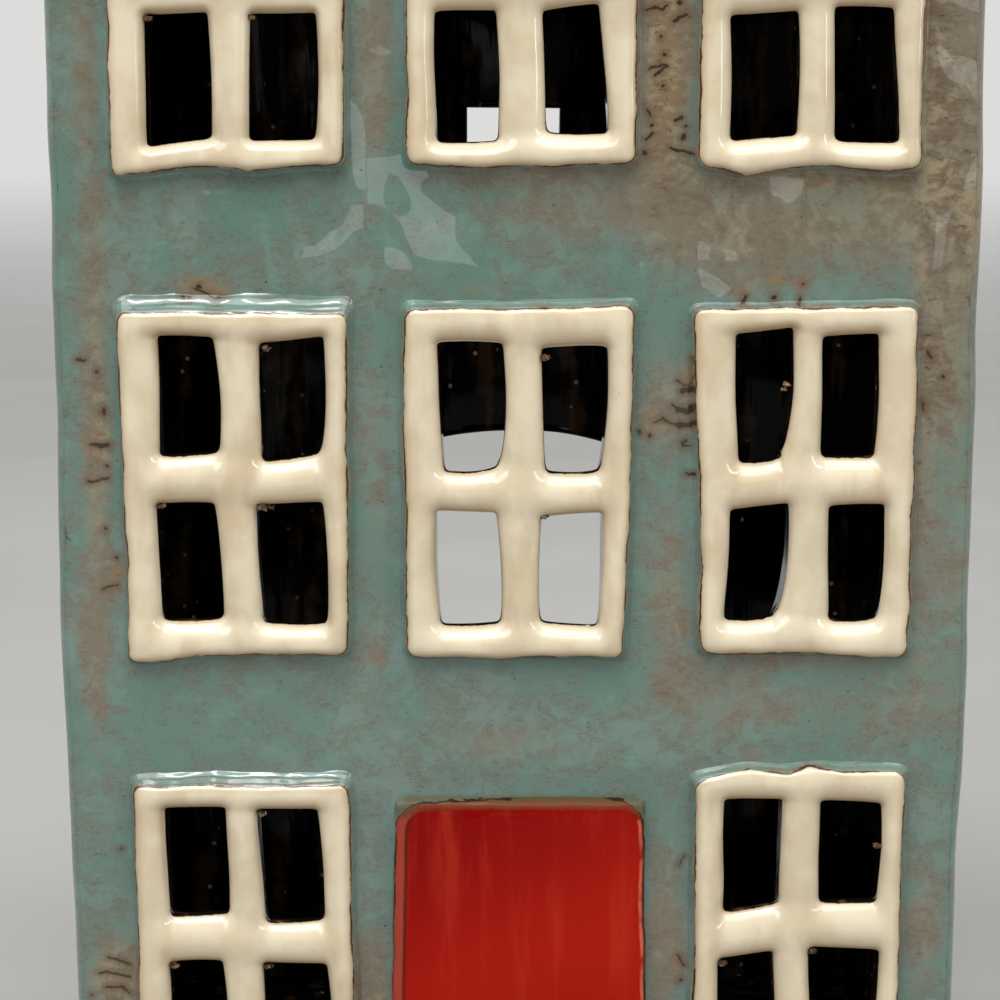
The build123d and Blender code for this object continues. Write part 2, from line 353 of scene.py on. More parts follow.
def vectorOf(tree, operation, first, second):
    return addNode(tree, "VectorMath", {"operation": operation}, {0: first, 1: second}).outputs


def makeCrackGroup():
    # how far a point of the front lies from the nearest crack's edge, a little shaken
    look = crackLook
    tree = bpy.data.node_groups.new("glazeCracks", "ShaderNodeTree")
    tree.interface.new_socket("Place", in_out="INPUT", socket_type="NodeSocketVector")
    tree.interface.new_socket("Gap", in_out="OUTPUT", socket_type="NodeSocketFloat")
    place = tree.nodes.new("NodeGroupInput").outputs[0]
    shake = addNode(tree, "TexNoise", None, {
        "Vector": place, "Scale": 1 / look["shakeSize"], "Detail": 2.0}).outputs["Color"]
    shake = vectorOf(tree, "SUBTRACT", shake, (0.5, 0.5, 0.5))[0]
    shake = vectorOf(tree, "MULTIPLY", shake, (look["shake"], 0, look["shake"]))[0]
    flat = vectorOf(tree, "MULTIPLY", place, (1, 0, 1))[0]
    flat = vectorOf(tree, "ADD", flat, shake)[0]
    nearest = 1.0
    for points in glazeCracks:
        ends = zip(points, points[1:]) if len(points) > 1 else [(points[0], points[0])]
        for (fromX, fromZ, fromHalf), (toX, toZ, toHalf) in ends:
            start = Vector((fromX, 0, fromZ)) * mm
            run = Vector((toX - fromX, 0, toZ - fromZ)) * mm
            if run.length == 0:
                far = vectorOf(tree, "DISTANCE", flat, start)["Value"]
            else:
                offset = vectorOf(tree, "SUBTRACT", flat, start)[0]
                share = vectorOf(tree, "DOT_PRODUCT", offset, run / run.length_squared)["Value"]
                share = mathOf(tree, "MINIMUM", mathOf(tree, "MAXIMUM", share, 0.0), 1.0)
                along = addNode(tree, "VectorMath", {"operation": "SCALE"},
                                {0: run, "Scale": share}).outputs[0]
                far = vectorOf(tree, "DISTANCE", offset, along)["Value"]
            far = mathOf(tree, "SUBTRACT", far, look["width"] * (fromHalf + toHalf) / 2 * mm)
            nearest = mathOf(tree, "MINIMUM", far, nearest)
    tree.links.new(nearest, tree.nodes.new("NodeGroupOutput").inputs[0])
    return tree


crackGroup = makeCrackGroup()


def tealColour(tree, place):
    # the body glaze: mottled teal that turns to taupe and rust where it is thin
    look = tealLook
    patch = noiseOf(tree, place, look["patch"], 3.0, 0.6, 0.3)
    mottle = noiseOf(tree, place, look["mottle"], 4.0, 0.66, 0.5)
    grain = noiseOf(tree, place, look["grain"], 3.0, 0.6)
    wide = squeezed(tree, place, look["flatten"])
    strokes = noiseOf(tree, wide, look["strokes"], 3.0, 0.62, 0.8)
    taupe = attributeOf(tree, "taupe")
    marks = attributeOf(tree, "marks")
    blots = attributeOf(tree, "blots")
    gap = attributeOf(tree, "reliefGap")
    tone = sumOf(tree, (mottle, 0.75), (patch, 0.60), (grain, 0.18))
    base = blendOf(tree, easeOf(tree, tone, 0.66, 0.86), look["teal"], look["grey"])
    lift = sumOf(tree, (mottle, -0.7), (patch, 0.7), (strokes, 0.35))
    base = blendOf(tree, easeOf(tree, lift, 0.14, 0.34, 0.0, 0.55), base, look["pale"])
    dulled = sumOf(tree, (taupe, 1.0), (mottle, 0.55), (patch, 0.35), (1.0, -0.45))
    base = blendOf(tree, easeOf(tree, dulled, 0.05, 0.80, 0.0, 0.85), base, look["dull"])
    thin = sumOf(tree, (taupe, 0.80), (patch, 0.80), (mottle, 0.80), (strokes, 0.35))
    thinMask = easeOf(tree, thin, 1.10, 1.62)
    brown = blendOf(tree, easeOf(tree, tone, 0.62, 0.80), look["taupePale"], look["taupe"])
    base = blendOf(tree, timesOf(tree, thinMask, 0.88), base, brown)
    # a paler teal round the reliefs, less on their right and foot: partly glaze pooled there, partly
    # painted light
    near = timesOf(tree, easeOf(tree, gap, 0.0, 2.6, 1.0, 0.0),
                   easeOf(tree, patch, 0.40, 0.58, 0.15, 1.0))
    near = timesOf(tree, near, easeOf(tree, taupe, 0.20, 0.60, 0.38, 0.0))
    base = blendOf(tree, near, base, look["poolAndLight"])
    # faint short strokes everywhere, rust round the thin places, then dark curls and blots
    faint = timesOf(tree, contourOf(tree, strokes, 0.5, 0.004, 0.022),
                    easeOf(tree, mottle, 0.42, 0.58, 0.0, 0.60))
    base = blendOf(tree, faint, base, look["stroke"])
    rustAt = sumOf(tree, (marks, 0.20), (taupe, 0.07), (strokes, 0.55), (mottle, 0.50))
    base = blendOf(tree, easeOf(tree, rustAt, 0.65, 0.80, 0.0, 0.60), base, look["rust"])
    ochreAt = sumOf(tree, (blots, 0.34), (mottle, 0.5), (grain, 0.25))
    base = blendOf(tree, easeOf(tree, ochreAt, 0.50, 0.68, 0.0, 0.75), base, look["ochre"])
    curl = noiseOf(tree, wide, look["curls"], 2.0, 0.5, 1.8)
    line = contourOf(tree, curl, 0.5, 0.006, 0.030)
    show = easeOf(tree, sumOf(tree, (marks, 0.34), (strokes, 0.9)), 0.66, 0.80, 0.0, 0.75)
    base = blendOf(tree, timesOf(tree, line, show), base, look["mark"])
    cracks = tree.nodes.new("ShaderNodeGroup")
    cracks.node_tree = crackGroup
    tree.links.new(place, cracks.inputs[0])
    crack = cracks.outputs[0]
    inFront = easeOf(tree, axisOf(tree, place, "Y"), *crackLook["frontOnly"], 1.0, 0.0)
    halo = timesOf(tree, easeOf(tree, crack, 0.0, crackLook["halo"], 0.68, 0.0), inFront)
    base = blendOf(tree, halo, base, look["rust"])
    core = timesOf(tree, easeOf(tree, crack, *crackLook["core"], 0.90, 0.0), inFront)
    base = blendOf(tree, core, base, look["mark"])
    dots = dotsOf(tree, place, look["dots"])
    rare = addNode(tree, "SeparateColor", None, {"Color": dots["Color"]}).outputs[0]
    dot = timesOf(tree, easeOf(tree, dots["Distance"], 0.04, 0.09, 1.0, 0.0),
                  easeOf(tree, rare, 0.84, 0.92, 0.0, 0.6))
    base = blendOf(tree, dot, base, look["mark"])
    base = blendOf(tree, easeOf(tree, grain, 0.3, 0.7, 0.0, 0.34), base, look["grainTone"], "OVERLAY")
    rough = easeOf(tree, thin, 1.0, 1.8, *look["rough"])
    calm = easeOf(tree, gap, -1.0, 5.0, 0.25, 1.0)
    return base, rough, timesOf(tree, waveHeight(tree, place), calm)


darkLook = {"coal": (0.0050, 0.0036, 0.0026), "brown": (0.090, 0.049, 0.022),
            "glintFleck": (0.70, 0.62, 0.48), "streak": 3.6 * mm, "mottle": 4.0 * mm, "dots": 4.0 * mm,
            "stretch": 0.12, "rough": 0.10, "specular": 0.07}


def darkColour(tree, place):
    # the brown-black glaze of the inside, run in upright brown streaks that are partly its own colour and
    # partly painted reflection, with pale flecks that are painted glints
    look = darkLook
    streak = noiseOf(tree, squeezed(tree, place, look["stretch"]), look["streak"], 2.0, 0.5, 0.2)
    mottle = noiseOf(tree, place, look["mottle"], 4.0, 0.6)
    base = blendOf(tree, easeOf(tree, sumOf(tree, (streak, 0.8), (mottle, 0.4)), 0.62, 0.80),
                   look["coal"], look["brown"])
    # pale flecks on the streaks: painted glints
    dots = dotsOf(tree, place, look["dots"])
    dot = timesOf(tree, easeOf(tree, dots["Distance"], 0.06, 0.16, 1.0, 0.0),
                  easeOf(tree, streak, 0.52, 0.60))
    base = blendOf(tree, dot, base, look["glintFleck"])
    height = sumOf(tree, (streak, 0.10), (waveHeight(tree, place), 0.35), (dot, 0.04))
    return base, height


def makeTeal():
    look = tealLook
    material, tree, shader = newMaterial("tealGlaze", {
        "Specular IOR Level": look["specular"], "Coat Weight": look["coat"],
        "Coat Roughness": look["coatRough"]})
    base, rough, height = tealColour(tree, placeOf(tree))
    # thinner on the body's edges
    edge = attributeOf(tree, "edgeBreak")
    edgeNoise = noiseOf(tree, placeOf(tree), look["wornEdge"], 3.0, 0.6)
    broken = easeOf(tree, sumOf(tree, (edge, 0.8), (edgeNoise, 0.9)), 0.95, 1.5, 0.0, 0.75)
    base = blendOf(tree, broken, base, look["taupePale"])
    finishLook(tree, shader, base, height, rough)
    return material


def makeDark():
    material, tree, shader = newMaterial("darkGlaze", {
        "Roughness": darkLook["rough"], "Specular IOR Level": darkLook["specular"]})
    finishLook(tree, shader, *darkColour(tree, placeOf(tree)))
    return material


creamLook = {"cream": (0.630, 0.530, 0.362), "pale": (0.715, 0.625, 0.455), "tan": (0.470, 0.325, 0.180),
             "litSill": (0.76, 0.68, 0.51), "crest": (0.28, 0.25, 0.17),
             "line": (0.046, 0.019, 0.007), "fringe": (0.200, 0.090, 0.036),
             "crumb": (0.200, 0.120, 0.055), "lineWidth": 0.082, "wander": 0.62,
             "cloud": 9 * mm, "warm": 7 * mm, "warmStretch": 0.35, "pinholes": 6.0 * mm,
             "specular": 0.5, "coat": 0.30, "coatRough": 0.04, "rough": (0.13, 0.10), "lip": 0.14}
redLook = {"red": (0.350, 0.008, 0.002), "dark": (0.205, 0.001, 0.0005), "bright": (0.430, 0.030, 0.012),
           "litShoulder": (0.32, 0.052, 0.030), "grooveShadow": (0.060, 0.006, 0.003),
           "break": (0.170, 0.036, 0.015), "olive": (0.095, 0.066, 0.026),
           "line": (0.034, 0.012, 0.005), "rim": (0.56, 0.130, 0.075), "rimAcross": (12 * mm, 20 * mm),
           "streak": 4.5 * mm, "stretch": 0.10, "lineWidth": 0.10, "wander": 0.8,
           "specular": 0.08, "rough": 0.08}
edgeNoises = {"slow": 6.5 * mm, "quick": 1.3 * mm, "patchy": 6.0 * mm}


def edgeMasks(tree, place, wander):
    # how far a point is from the colour's edge, unevenly, and the dark line that runs along it
    slow = noiseOf(tree, place, edgeNoises["slow"], 3.0, 0.55)
    quick = noiseOf(tree, place, edgeNoises["quick"], 2.0, 0.6)
    gap = sumOf(tree, (attributeOf(tree, "colourGap"), 1.0), (slow, wander), (quick, 0.14),
                (1.0, -0.5 * wander - 0.07))
    return gap, quick


def brokenLine(tree, gap, quick, slow, width):
    # the dark line where two glazes meet: thin, uneven, and gone in places
    thick = easeOf(tree, slow, 0.36, 0.62, 0.25 * width, 1.9 * width)
    off = mathOf(tree, "ABSOLUTE", sumOf(tree, (gap, 1.0), (quick, 0.25), (1.0, -0.12)), 0.0)
    return easeOf(tree, mathOf(tree, "DIVIDE", off, thick), 0.55, 1.5, 1.0, 0.0)


def makeCream():
    look = creamLook
    material, tree, shader = newMaterial("creamGlaze", {
        "Specular IOR Level": look["specular"], "Coat Weight": look["coat"],
        "Coat Roughness": look["coatRough"]})
    place = placeOf(tree)
    gap, quick = edgeMasks(tree, place, look["wander"])
    soft = noiseOf(tree, place, look["cloud"], 3.0, 0.55)
    cream = blendOf(tree, easeOf(tree, soft, 0.36, 0.62), look["cream"], look["pale"])
    warm = noiseOf(tree, squeezed(tree, place, look["warmStretch"]), look["warm"], 3.0, 0.55)
    cream = blendOf(tree, easeOf(tree, warm, 0.48, 0.70, 0.0, 0.38), cream, look["tan"])
    # thinner and warmer at the outer edge; the tan on what faces down is painted shade, and the pale sill
    # colour on what faces up is painted light
    cream = blendOf(tree, easeOf(tree, gap, -1.7, 0.0, 0.0, 0.55), cream, look["tan"])
    facing = attributeOf(tree, "facing")
    shadeUnder = sumOf(tree, (facing, -1.0), (soft, 0.5), (1.0, -0.25))
    cream = blendOf(tree, easeOf(tree, shadeUnder, 0.12, 0.80, 0.0, 0.75), cream, look["tan"])
    cream = blendOf(tree, easeOf(tree, facing, 0.20, 0.65, 0.0, 0.75), cream, look["litSill"])
    reveal = sumOf(tree, (attributeOf(tree, "revealGap"), 1.0), (soft, 1.0), (quick, 0.5),
                   (1.0, -0.75))
    cream = blendOf(tree, easeOf(tree, reveal, -0.9, -0.1, 0.0, 0.55), cream, look["tan"])
    pinholes = dotsOf(tree, place, look["pinholes"])["Distance"]
    cream = blendOf(tree, easeOf(tree, pinholes, 0.014, 0.032, 0.5, 0.0), cream, look["fringe"])
    teal = tealColour(tree, place)[0]
    dark = darkColour(tree, place)[0]
    base = blendOf(tree, easeOf(tree, gap, -0.05, 0.05), cream, teal)
    slow = noiseOf(tree, place, edgeNoises["patchy"], 3.0, 0.65)
    fringe = timesOf(tree, easeOf(tree, gap, 0.0, 0.9, 1.0, 0.0), easeOf(tree, gap, -0.45, 0.0))
    base = blendOf(tree, timesOf(tree, fringe, easeOf(tree, slow, 0.40, 0.62, 0.15, 0.80)),
                   base, look["fringe"])
    # upright edges get a pale crest colour just outside the dark line
    crest = timesOf(tree, easeOf(tree, gap, 0.10, 0.22), easeOf(tree, gap, 0.40, 0.62, 1.0, 0.0))
    upright = easeOf(tree, mathOf(tree, "ABSOLUTE", facing, 0.0), 0.2, 0.5, 1.0, 0.0)
    upright = timesOf(tree, upright, easeOf(tree, slow, 0.45, 0.62, 0.0, 0.7))
    crest = timesOf(tree, crest, upright)
    base = blendOf(tree, crest, base, look["crest"])
    line = brokenLine(tree, gap, quick, slow, look["lineWidth"])
    base = blendOf(tree, line, base, look["line"])
    crumb = attributeOf(tree, "crumb")
    base = blendOf(tree, easeOf(tree, crumb, 0.3, 0.7), base,
                   blendOf(tree, easeOf(tree, quick, 0.42, 0.56), look["crumb"], look["line"]))
    inner = mathOf(tree, "SUBTRACT", easeOf(tree, reveal, -0.12, 0.12), crumb)
    base = blendOf(tree, inner, base, dark)
    lip = easeOf(tree, gap, -0.7, 0.1, look["lip"], 0.0)
    height = sumOf(tree, (waveHeight(tree, place, 0.45), 1.0), (lip, 1.0), (line, -0.05))
    finishLook(tree, shader, base, height, easeOf(tree, gap, -0.1, 0.1, *look["rough"]))
    return material


def makeRed():
    look = redLook
    material, tree, shader = newMaterial("redGlaze", {
        "Specular IOR Level": look["specular"], "Roughness": look["rough"]})
    place = placeOf(tree)
    gap, quick = edgeMasks(tree, place, look["wander"])
    streak = noiseOf(tree, squeezed(tree, place, look["stretch"]), look["streak"], 4.0, 0.6, 0.3)
    shade = attributeOf(tree, "doorShade")
    red = blendOf(tree, shade, look["red"], look["dark"])
    red = blendOf(tree, easeOf(tree, streak, 0.48, 0.74, 0.0, 0.50), red, look["bright"])
    # the face's edge: a dark groove line that is painted shadow, and a paler shoulder at its left that is
    # painted light; brown breaks over its head
    face = sumOf(tree, (attributeOf(tree, "doorFace"), 1.0), (streak, 0.8), (quick, 0.3), (1.0, -0.55))
    head = attributeOf(tree, "doorHead")
    side = blendOf(tree, head, look["litShoulder"], look["break"])
    side = blendOf(tree, timesOf(tree, head, easeOf(tree, face, 0.75, 1.5)), side, look["olive"])
    red = blendOf(tree, easeOf(tree, face, -0.25, 0.45, 0.0, 0.92), red, side)
    grooveShadow = contourOf(tree, face, 0.1, 0.10, 0.55)
    grooveShadow = timesOf(tree, grooveShadow, sumOf(tree, (head, -0.5), (1.0, 0.75)))
    red = blendOf(tree, grooveShadow, red, look["grooveShadow"])
    # a thin bright rim down the right side: a painted highlight
    across = axisOf(tree, place, "X")
    slow = noiseOf(tree, place, edgeNoises["patchy"], 3.0, 0.65)
    rim = timesOf(tree, contourOf(tree, gap, -0.65, 0.15, 0.45), easeOf(tree, slow, 0.34, 0.56))
    rim = timesOf(tree, rim, easeOf(tree, across, *look["rimAcross"]))
    rim = timesOf(tree, rim, easeOf(tree, head, 0.0, 0.6, 0.85, 0.0))
    red = blendOf(tree, rim, red, look["rim"])
    teal = tealColour(tree, place)[0]
    corner = timesOf(tree, head, easeOf(tree, gap, 0.9, 2.6, 0.75, 0.0))
    teal = blendOf(tree, corner, teal, look["olive"])
    base = blendOf(tree, easeOf(tree, gap, -0.05, 0.05), red, teal)
    base = blendOf(tree, brokenLine(tree, gap, quick, slow, look["lineWidth"]), base, look["line"])
    finishLook(tree, shader, base, sumOf(tree, (waveHeight(tree, place, 0.5), 1.0), (streak, 0.05)))
    return material


clayLook = {"clay": (0.44, 0.33, 0.235), "pale": (0.55, 0.45, 0.34), "grit": (0.20, 0.12, 0.07),
            "cloud": 12 * mm, "sand": 0.7 * mm, "rough": (0.62, 0.85), "specular": 0.35}


def makeClay():
    look = clayLook
    material, tree, shader = newMaterial("bareClay", {"Specular IOR Level": look["specular"]})
    place = placeOf(tree)
    soft = noiseOf(tree, place, look["cloud"], 4.0, 0.6)
    sand = noiseOf(tree, place, look["sand"], 3.0, 0.7)
    base = blendOf(tree, easeOf(tree, soft, 0.35, 0.65), look["clay"], look["pale"])
    base = blendOf(tree, easeOf(tree, sand, 0.60, 0.72, 0.0, 0.6), base, look["grit"])
    finishLook(tree, shader, base, sumOf(tree, (sand, 0.09), (soft, 0.2)),
               easeOf(tree, sand, 0.3, 0.7, *look["rough"]))
    return material


slateLook = {"black": (0.018, 0.013, 0.011), "brown": (0.062, 0.036, 0.022), "rust": (0.11, 0.055, 0.025),
             "worn": (0.16, 0.085, 0.042), "cloud": 14 * mm, "mottle": 3.5 * mm,
             "rough": 0.16, "specular": 0.5, "coat": 0.3, "coatRough": 0.05}


def makeSlate():
    # the roof's glaze: the inside's brown-black, broken to rust where it is thin
    look = slateLook
    material, tree, shader = newMaterial("slateGlaze", {
        "Roughness": look["rough"], "Specular IOR Level": look["specular"],
        "Coat Weight": look["coat"], "Coat Roughness": look["coatRough"]})
    place = placeOf(tree)
    cloud = noiseOf(tree, place, look["cloud"], 4.0, 0.6, 0.4)
    mottle = noiseOf(tree, place, look["mottle"], 5.0, 0.65)
    base = blendOf(tree, easeOf(tree, sumOf(tree, (cloud, 0.8), (mottle, 0.5)), 0.52, 0.80),
                   look["black"], look["brown"])
    base = blendOf(tree, easeOf(tree, mottle, 0.60, 0.72, 0.0, 0.6), base, look["rust"])
    worn = sumOf(tree, (attributeOf(tree, "edgeBreak"), 0.8), (mottle, 0.9), (cloud, 0.5))
    base = blendOf(tree, easeOf(tree, worn, 1.20, 1.62, 0.0, 0.80), base, look["worn"])
    finishLook(tree, shader, base, sumOf(tree, (waveHeight(tree, place), 1.0), (mottle, 0.05)))
    return material


# the glazes that several pieces share
tealGlaze = makeTeal()
darkGlaze = makeDark()
creamGlaze = makeCream()
redGlaze = makeRed()
bareClay = makeClay()
slateGlaze = makeSlate()
print("glazes made")


# Windows: each frame is read off. Millimetres on the relief's face, as (across, up):
# outline: its corners from top left, clockwise, and where it is wavy its foot and its head
# panes: the corners of each; slumps: pane, is right, is top, how far that corner has sunk
# crumbs: across, up, size; lip: the ridge round the panes; topFlare: how far the head stands up

windowCuts = {
    "top_left": {
        "outline": ((-71.3, 250.5), (-30.3, 250.5), (-30.5, 186.8), (-71.3, 185.2),
                    ((-71.3, 185.1), (-68.8, 185.9), (-64.2, 186.2), (-57.0, 187.1), (-48.9, 186.8),
                     (-47.3, 186.2), (-40.0, 186.8), (-30.5, 186.9)), ()),
        "lip": 0.55, "crumbs": ((-64.3, 212.9, 0.75), (-46.2, 212.8, 0.7)),
        "panes": (
            ((-65.0, 244.8), (-54.2, 244.6), (-53.6, 223.2), (-64.6, 222.8)),
            ((-46.0, 244.6), (-35.2, 244.9), (-35.0, 222.6), (-46.2, 222.9)),
            ((-65.2, 213.6), (-53.8, 213.6), (-53.4, 192.2), (-64.9, 190.6)),
            ((-46.2, 213.4), (-35.2, 213.4), (-35.4, 191.6), (-47.0, 191.7)),
        ),
    },
    "top_middle": {
        "outline": ((-19.6, 251.4), (21.4, 251.0), (21.0, 187.2), (-19.2, 187.4)),
        "panes": (
            ((-14.0, 245.5), (-2.8, 245.2), (-3.2, 223.4), (-13.6, 223.2)),
            ((5.0, 245.0), (16.2, 245.6), (15.8, 223.5), (5.4, 223.8)),
            ((-14.4, 213.9), (-3.2, 214.1), (-2.9, 191.9), (-13.9, 191.5)),
            ((5.0, 213.8), (14.6, 215.0), (16.2, 192.8), (5.6, 193.3)),
        ),
    },
    "top_right": {
        "outline": ((32.0, 250.6), (71.8, 250.9), (71.3, 186.9), (32.6, 186.9),
                    ((32.6, 187.2), (37.0, 186.6), (41.0, 185.6), (48.5, 186.9), (55.5, 187.1),
                     (65.5, 186.5), (71.3, 187.3)), ()),
        "panes": (
            ((38.0, 244.6), (49.2, 245.0), (48.8, 223.0), (38.4, 223.2)),
            ((56.2, 245.0), (66.4, 244.6), (66.8, 222.8), (56.4, 223.3)),
            ((37.4, 213.4), (49.2, 214.0), (49.6, 192.4), (38.0, 191.6)),
            ((55.6, 214.6), (66.0, 214.8), (67.6, 191.7), (56.4, 191.6)),
        ),
    },
    "first_left": {
        "outline": ((-71.0, 161.4), (-29.7, 161.4), (-30.6, 98.6), (-69.9, 97.2),
                    ((-69.9, 97.0), (-64.0, 97.5), (-57.0, 98.5), (-50.0, 98.8), (-30.6, 98.8)), ()),
        "topFlare": 2.5,
        "slumps": ((0, 1, 0, 0.4), (1, 1, 0, 0.7), (2, 0, 0, 0.4), (3, 1, 0, 0.6)),
        "crumbs": ((-44.4, 155.2, 0.75), (-64.0, 126.2, 0.75), (-45.6, 125.9, 0.9), (-44.2, 125.9, 0.6)),
        "panes": (
            ((-63.9, 156.9), (-54.0, 156.8), (-52.9, 136.0), (-64.1, 135.7)),
            ((-45.6, 156.0), (-34.2, 157.2), (-34.4, 135.6), (-45.5, 134.4)),
            ((-65.0, 126.5), (-54.4, 126.5), (-53.0, 105.2), (-64.2, 104.8)),
            ((-46.9, 126.1), (-34.9, 126.8), (-33.8, 103.9), (-45.9, 104.3)),
        ),
    },
    "first_middle": {
        "outline": ((-19.5, 162.0), (21.3, 162.6), (19.7, 98.2), (-19.7, 98.4)),
        "topFlare": 1.1,
        "slumps": ((0, 1, 0, 1.5), (0, 0, 0, 0.3), (1, 1, 0, 0.7), (1, 1, 1, 0.6), (1, 0, 0, 0.4),
                   (2, 0, 0, 0.3), (2, 1, 0, 0.3), (3, 1, 0, 0.4), (3, 0, 0, 0.3)),
        "crumbs": ((5.2, 153.6, 0.75), (4.9, 123.9, 0.7)),
        "panes": (
            ((-13.8, 156.0), (-2.4, 156.0), (-1.9, 132.6), (-12.9, 132.2)),
            ((4.6, 155.2), (16.9, 155.8), (15.6, 132.1), (4.9, 131.9)),
            ((-14.2, 124.9), (-3.4, 124.7), (-2.4, 104.2), (-13.6, 103.7)),
            ((4.5, 123.7), (15.3, 124.5), (15.4, 103.6), (4.4, 104.2)),
        ),
    },
    "first_right": {
        "outline": ((32.0, 161.8), (71.9, 162.5), (71.5, 98.8), (33.9, 98.9)),
        "topFlare": 0.8,
        "slumps": ((0, 1, 0, 2.0), (0, 0, 0, 0.3), (2, 1, 0, 1.6), (2, 0, 0, 0.3), (3, 1, 0, 0.7)),
        "crumbs": ((48.7, 148.2, 0.55), (48.2, 147.3, 0.4)),
        "panes": (
            ((39.4, 157.1), (49.9, 158.3), (49.6, 134.4), (40.0, 134.2)),
            ((55.3, 156.6), (65.3, 157.4), (64.5, 135.1), (55.3, 135.1)),
            ((38.7, 125.5), (49.6, 126.2), (48.8, 104.9), (38.0, 104.8)),
            ((57.0, 125.6), (67.0, 126.3), (66.6, 105.6), (57.4, 105.0)),
        ),
    },
    "ground_left": {
        "outline": ((-69.9, 74.4), (-30.5, 74.2), (-30.2, 11.4), (-70.2, 11.2)),
        "topFlare": 1.6,
        "crumbs": ((-46.3, 68.7, 0.7), (-63.5, 38.7, 0.8), (-46.1, 38.9, 0.75)),
        "panes": (
            ((-64.4, 69.5), (-53.2, 69.6), (-53.0, 49.3), (-63.9, 48.6)),
            ((-47.2, 69.4), (-36.4, 69.3), (-35.4, 48.2), (-46.1, 47.6)),
            ((-64.4, 39.2), (-54.6, 39.6), (-53.8, 17.6), (-64.0, 17.2)),
            ((-47.0, 39.6), (-35.2, 39.2), (-34.8, 17.0), (-46.6, 17.5)),
        ),
    },
    "ground_right": {
        "outline": ((33.1, 75.0), (71.7, 76.8), (71.0, 11.8), (33.6, 11.6), (),
                    ((33.1, 74.6), (38.0, 76.2), (43.0, 77.3), (50.0, 76.3), (54.0, 77.6), (60.0, 77.0),
                     (71.7, 76.8))),
        "crumbs": ((38.7, 39.4, 0.75), (55.5, 41.3, 0.7), (67.0, 62.0, 0.6)),
        "panes": (
            ((38.6, 70.6), (49.4, 70.9), (49.0, 50.6), (38.6, 49.0)),
            ((56.4, 70.7), (67.6, 70.2), (67.2, 51.4), (56.6, 50.8)),
            ((37.9, 40.0), (48.4, 41.1), (49.0, 18.8), (38.4, 18.0)),
            ((54.9, 41.9), (67.8, 41.3), (67.0, 18.2), (56.2, 18.8)),
        ),
    },
}

doorCut = {
    "outline": ((-21.5, 70.7), (23.6, 71.1), (25.3, 3.2), (-24.2, 3.2), (),
                ((-21.5, 70.3), (-12.0, 70.9), (-3.0, 71.0), (4.0, 71.9), (12.0, 72.1), (18.0, 71.3),
                 (23.6, 70.9))),
    "face": ((-19.6, 69.3), (23.4, 69.8), (25.1, 2.0), (-21.9, 2.0)), "faceRound": 4.0,
    "flareShare": 0.32, "colourRound": 4.4, "swell": (0.25, 0.5), "wander": 0.35,
    "shade": (36 * mm, 78 * mm), "shadeLean": 0.55, "head": (67 * mm, 69 * mm),
    "acrossShares": (0, 0.05, 0.12, 0.2, 0.28, 0.36, 0.43, 0.5, 0.57, 0.64, 0.72, 0.8, 0.88, 0.95, 1),
    "upShares": (0, 0.035, 0.09, 0.17, 0.25, 0.33, 0.42, 0.5, 0.58, 0.67, 0.75, 0.83, 0.91, 0.965, 1),
}
reliefOutlines = [cut["outline"] for cut in (*windowCuts.values(), doorCut)]

# Steps of a relief from the wall to its face, in millimetres: how far forward each ring of its
# side, its panes and its sills lies, how far the side stands out past the colour's edge, how far
# the sills drop inwards, and the swell of the bars
reliefSteps = {
    "sideY": (-37.8, -43.0, -44.95, -45.25, -46.4, -47.75),
    "flare": (0.0, 1.5, 1.45, 0.85, 0.38, 0.10),
    "paneY": (-37.8, -39.8, -41.6, -43.2, -44.7, -46.5),
    "sillY": (-37.8, -39.8, -41.4, -42.8, -44.0, -45.3),
    "sillDrop": (1.9, 1.5, 1.05, 0.55, 0.15, 0.0),
    "swell": 0.85, "creamDepth": 2.9, "cornerRound": 1.9,
    "acrossShares": (0.0, 0.13, 0.5, 0.88, 1.0), "upShares": (0.0, 0.10, 0.5, 0.95, 1.0),
}
# a window's cage is 14 by 14 cells: where its four panes start, and its bars' and sills' lines
cageCells = 14
paneStarts = ((2, 8), (8, 8), (2, 2), (8, 2))
barLines = (1, 7, 13)
sillLines = (2, 8)
# how much of a slump its neighbours take, and how far a pane's sides bow out: left, right,
# top and foot, each a least and a most
slumpSpread = 0.45
paneBows = ((-0.15, 0.35), (0.2, 0.75), (-0.1, 0.3), (-0.1, 0.3))
# millimetres: the ridge round a pane, the crumbs in its corners, and the cut edge's wander
lipLook = {"height": 0.12, "away": 1.3, "width": 0.75, "cornerRound": 1.0}
crumbLook = {"stretch": (1.25, 1.6, 0.75), "shake": 0.22, "deep": 2.4 * mm}
raggedEdge = {"wander": 0.6, "size": 7 * mm, "gap": (-3.0, 0.5), "forward": (42 * mm, 45 * mm)}


def edgePoint(first, second, share):
    return Vector(first).lerp(Vector(second), share)


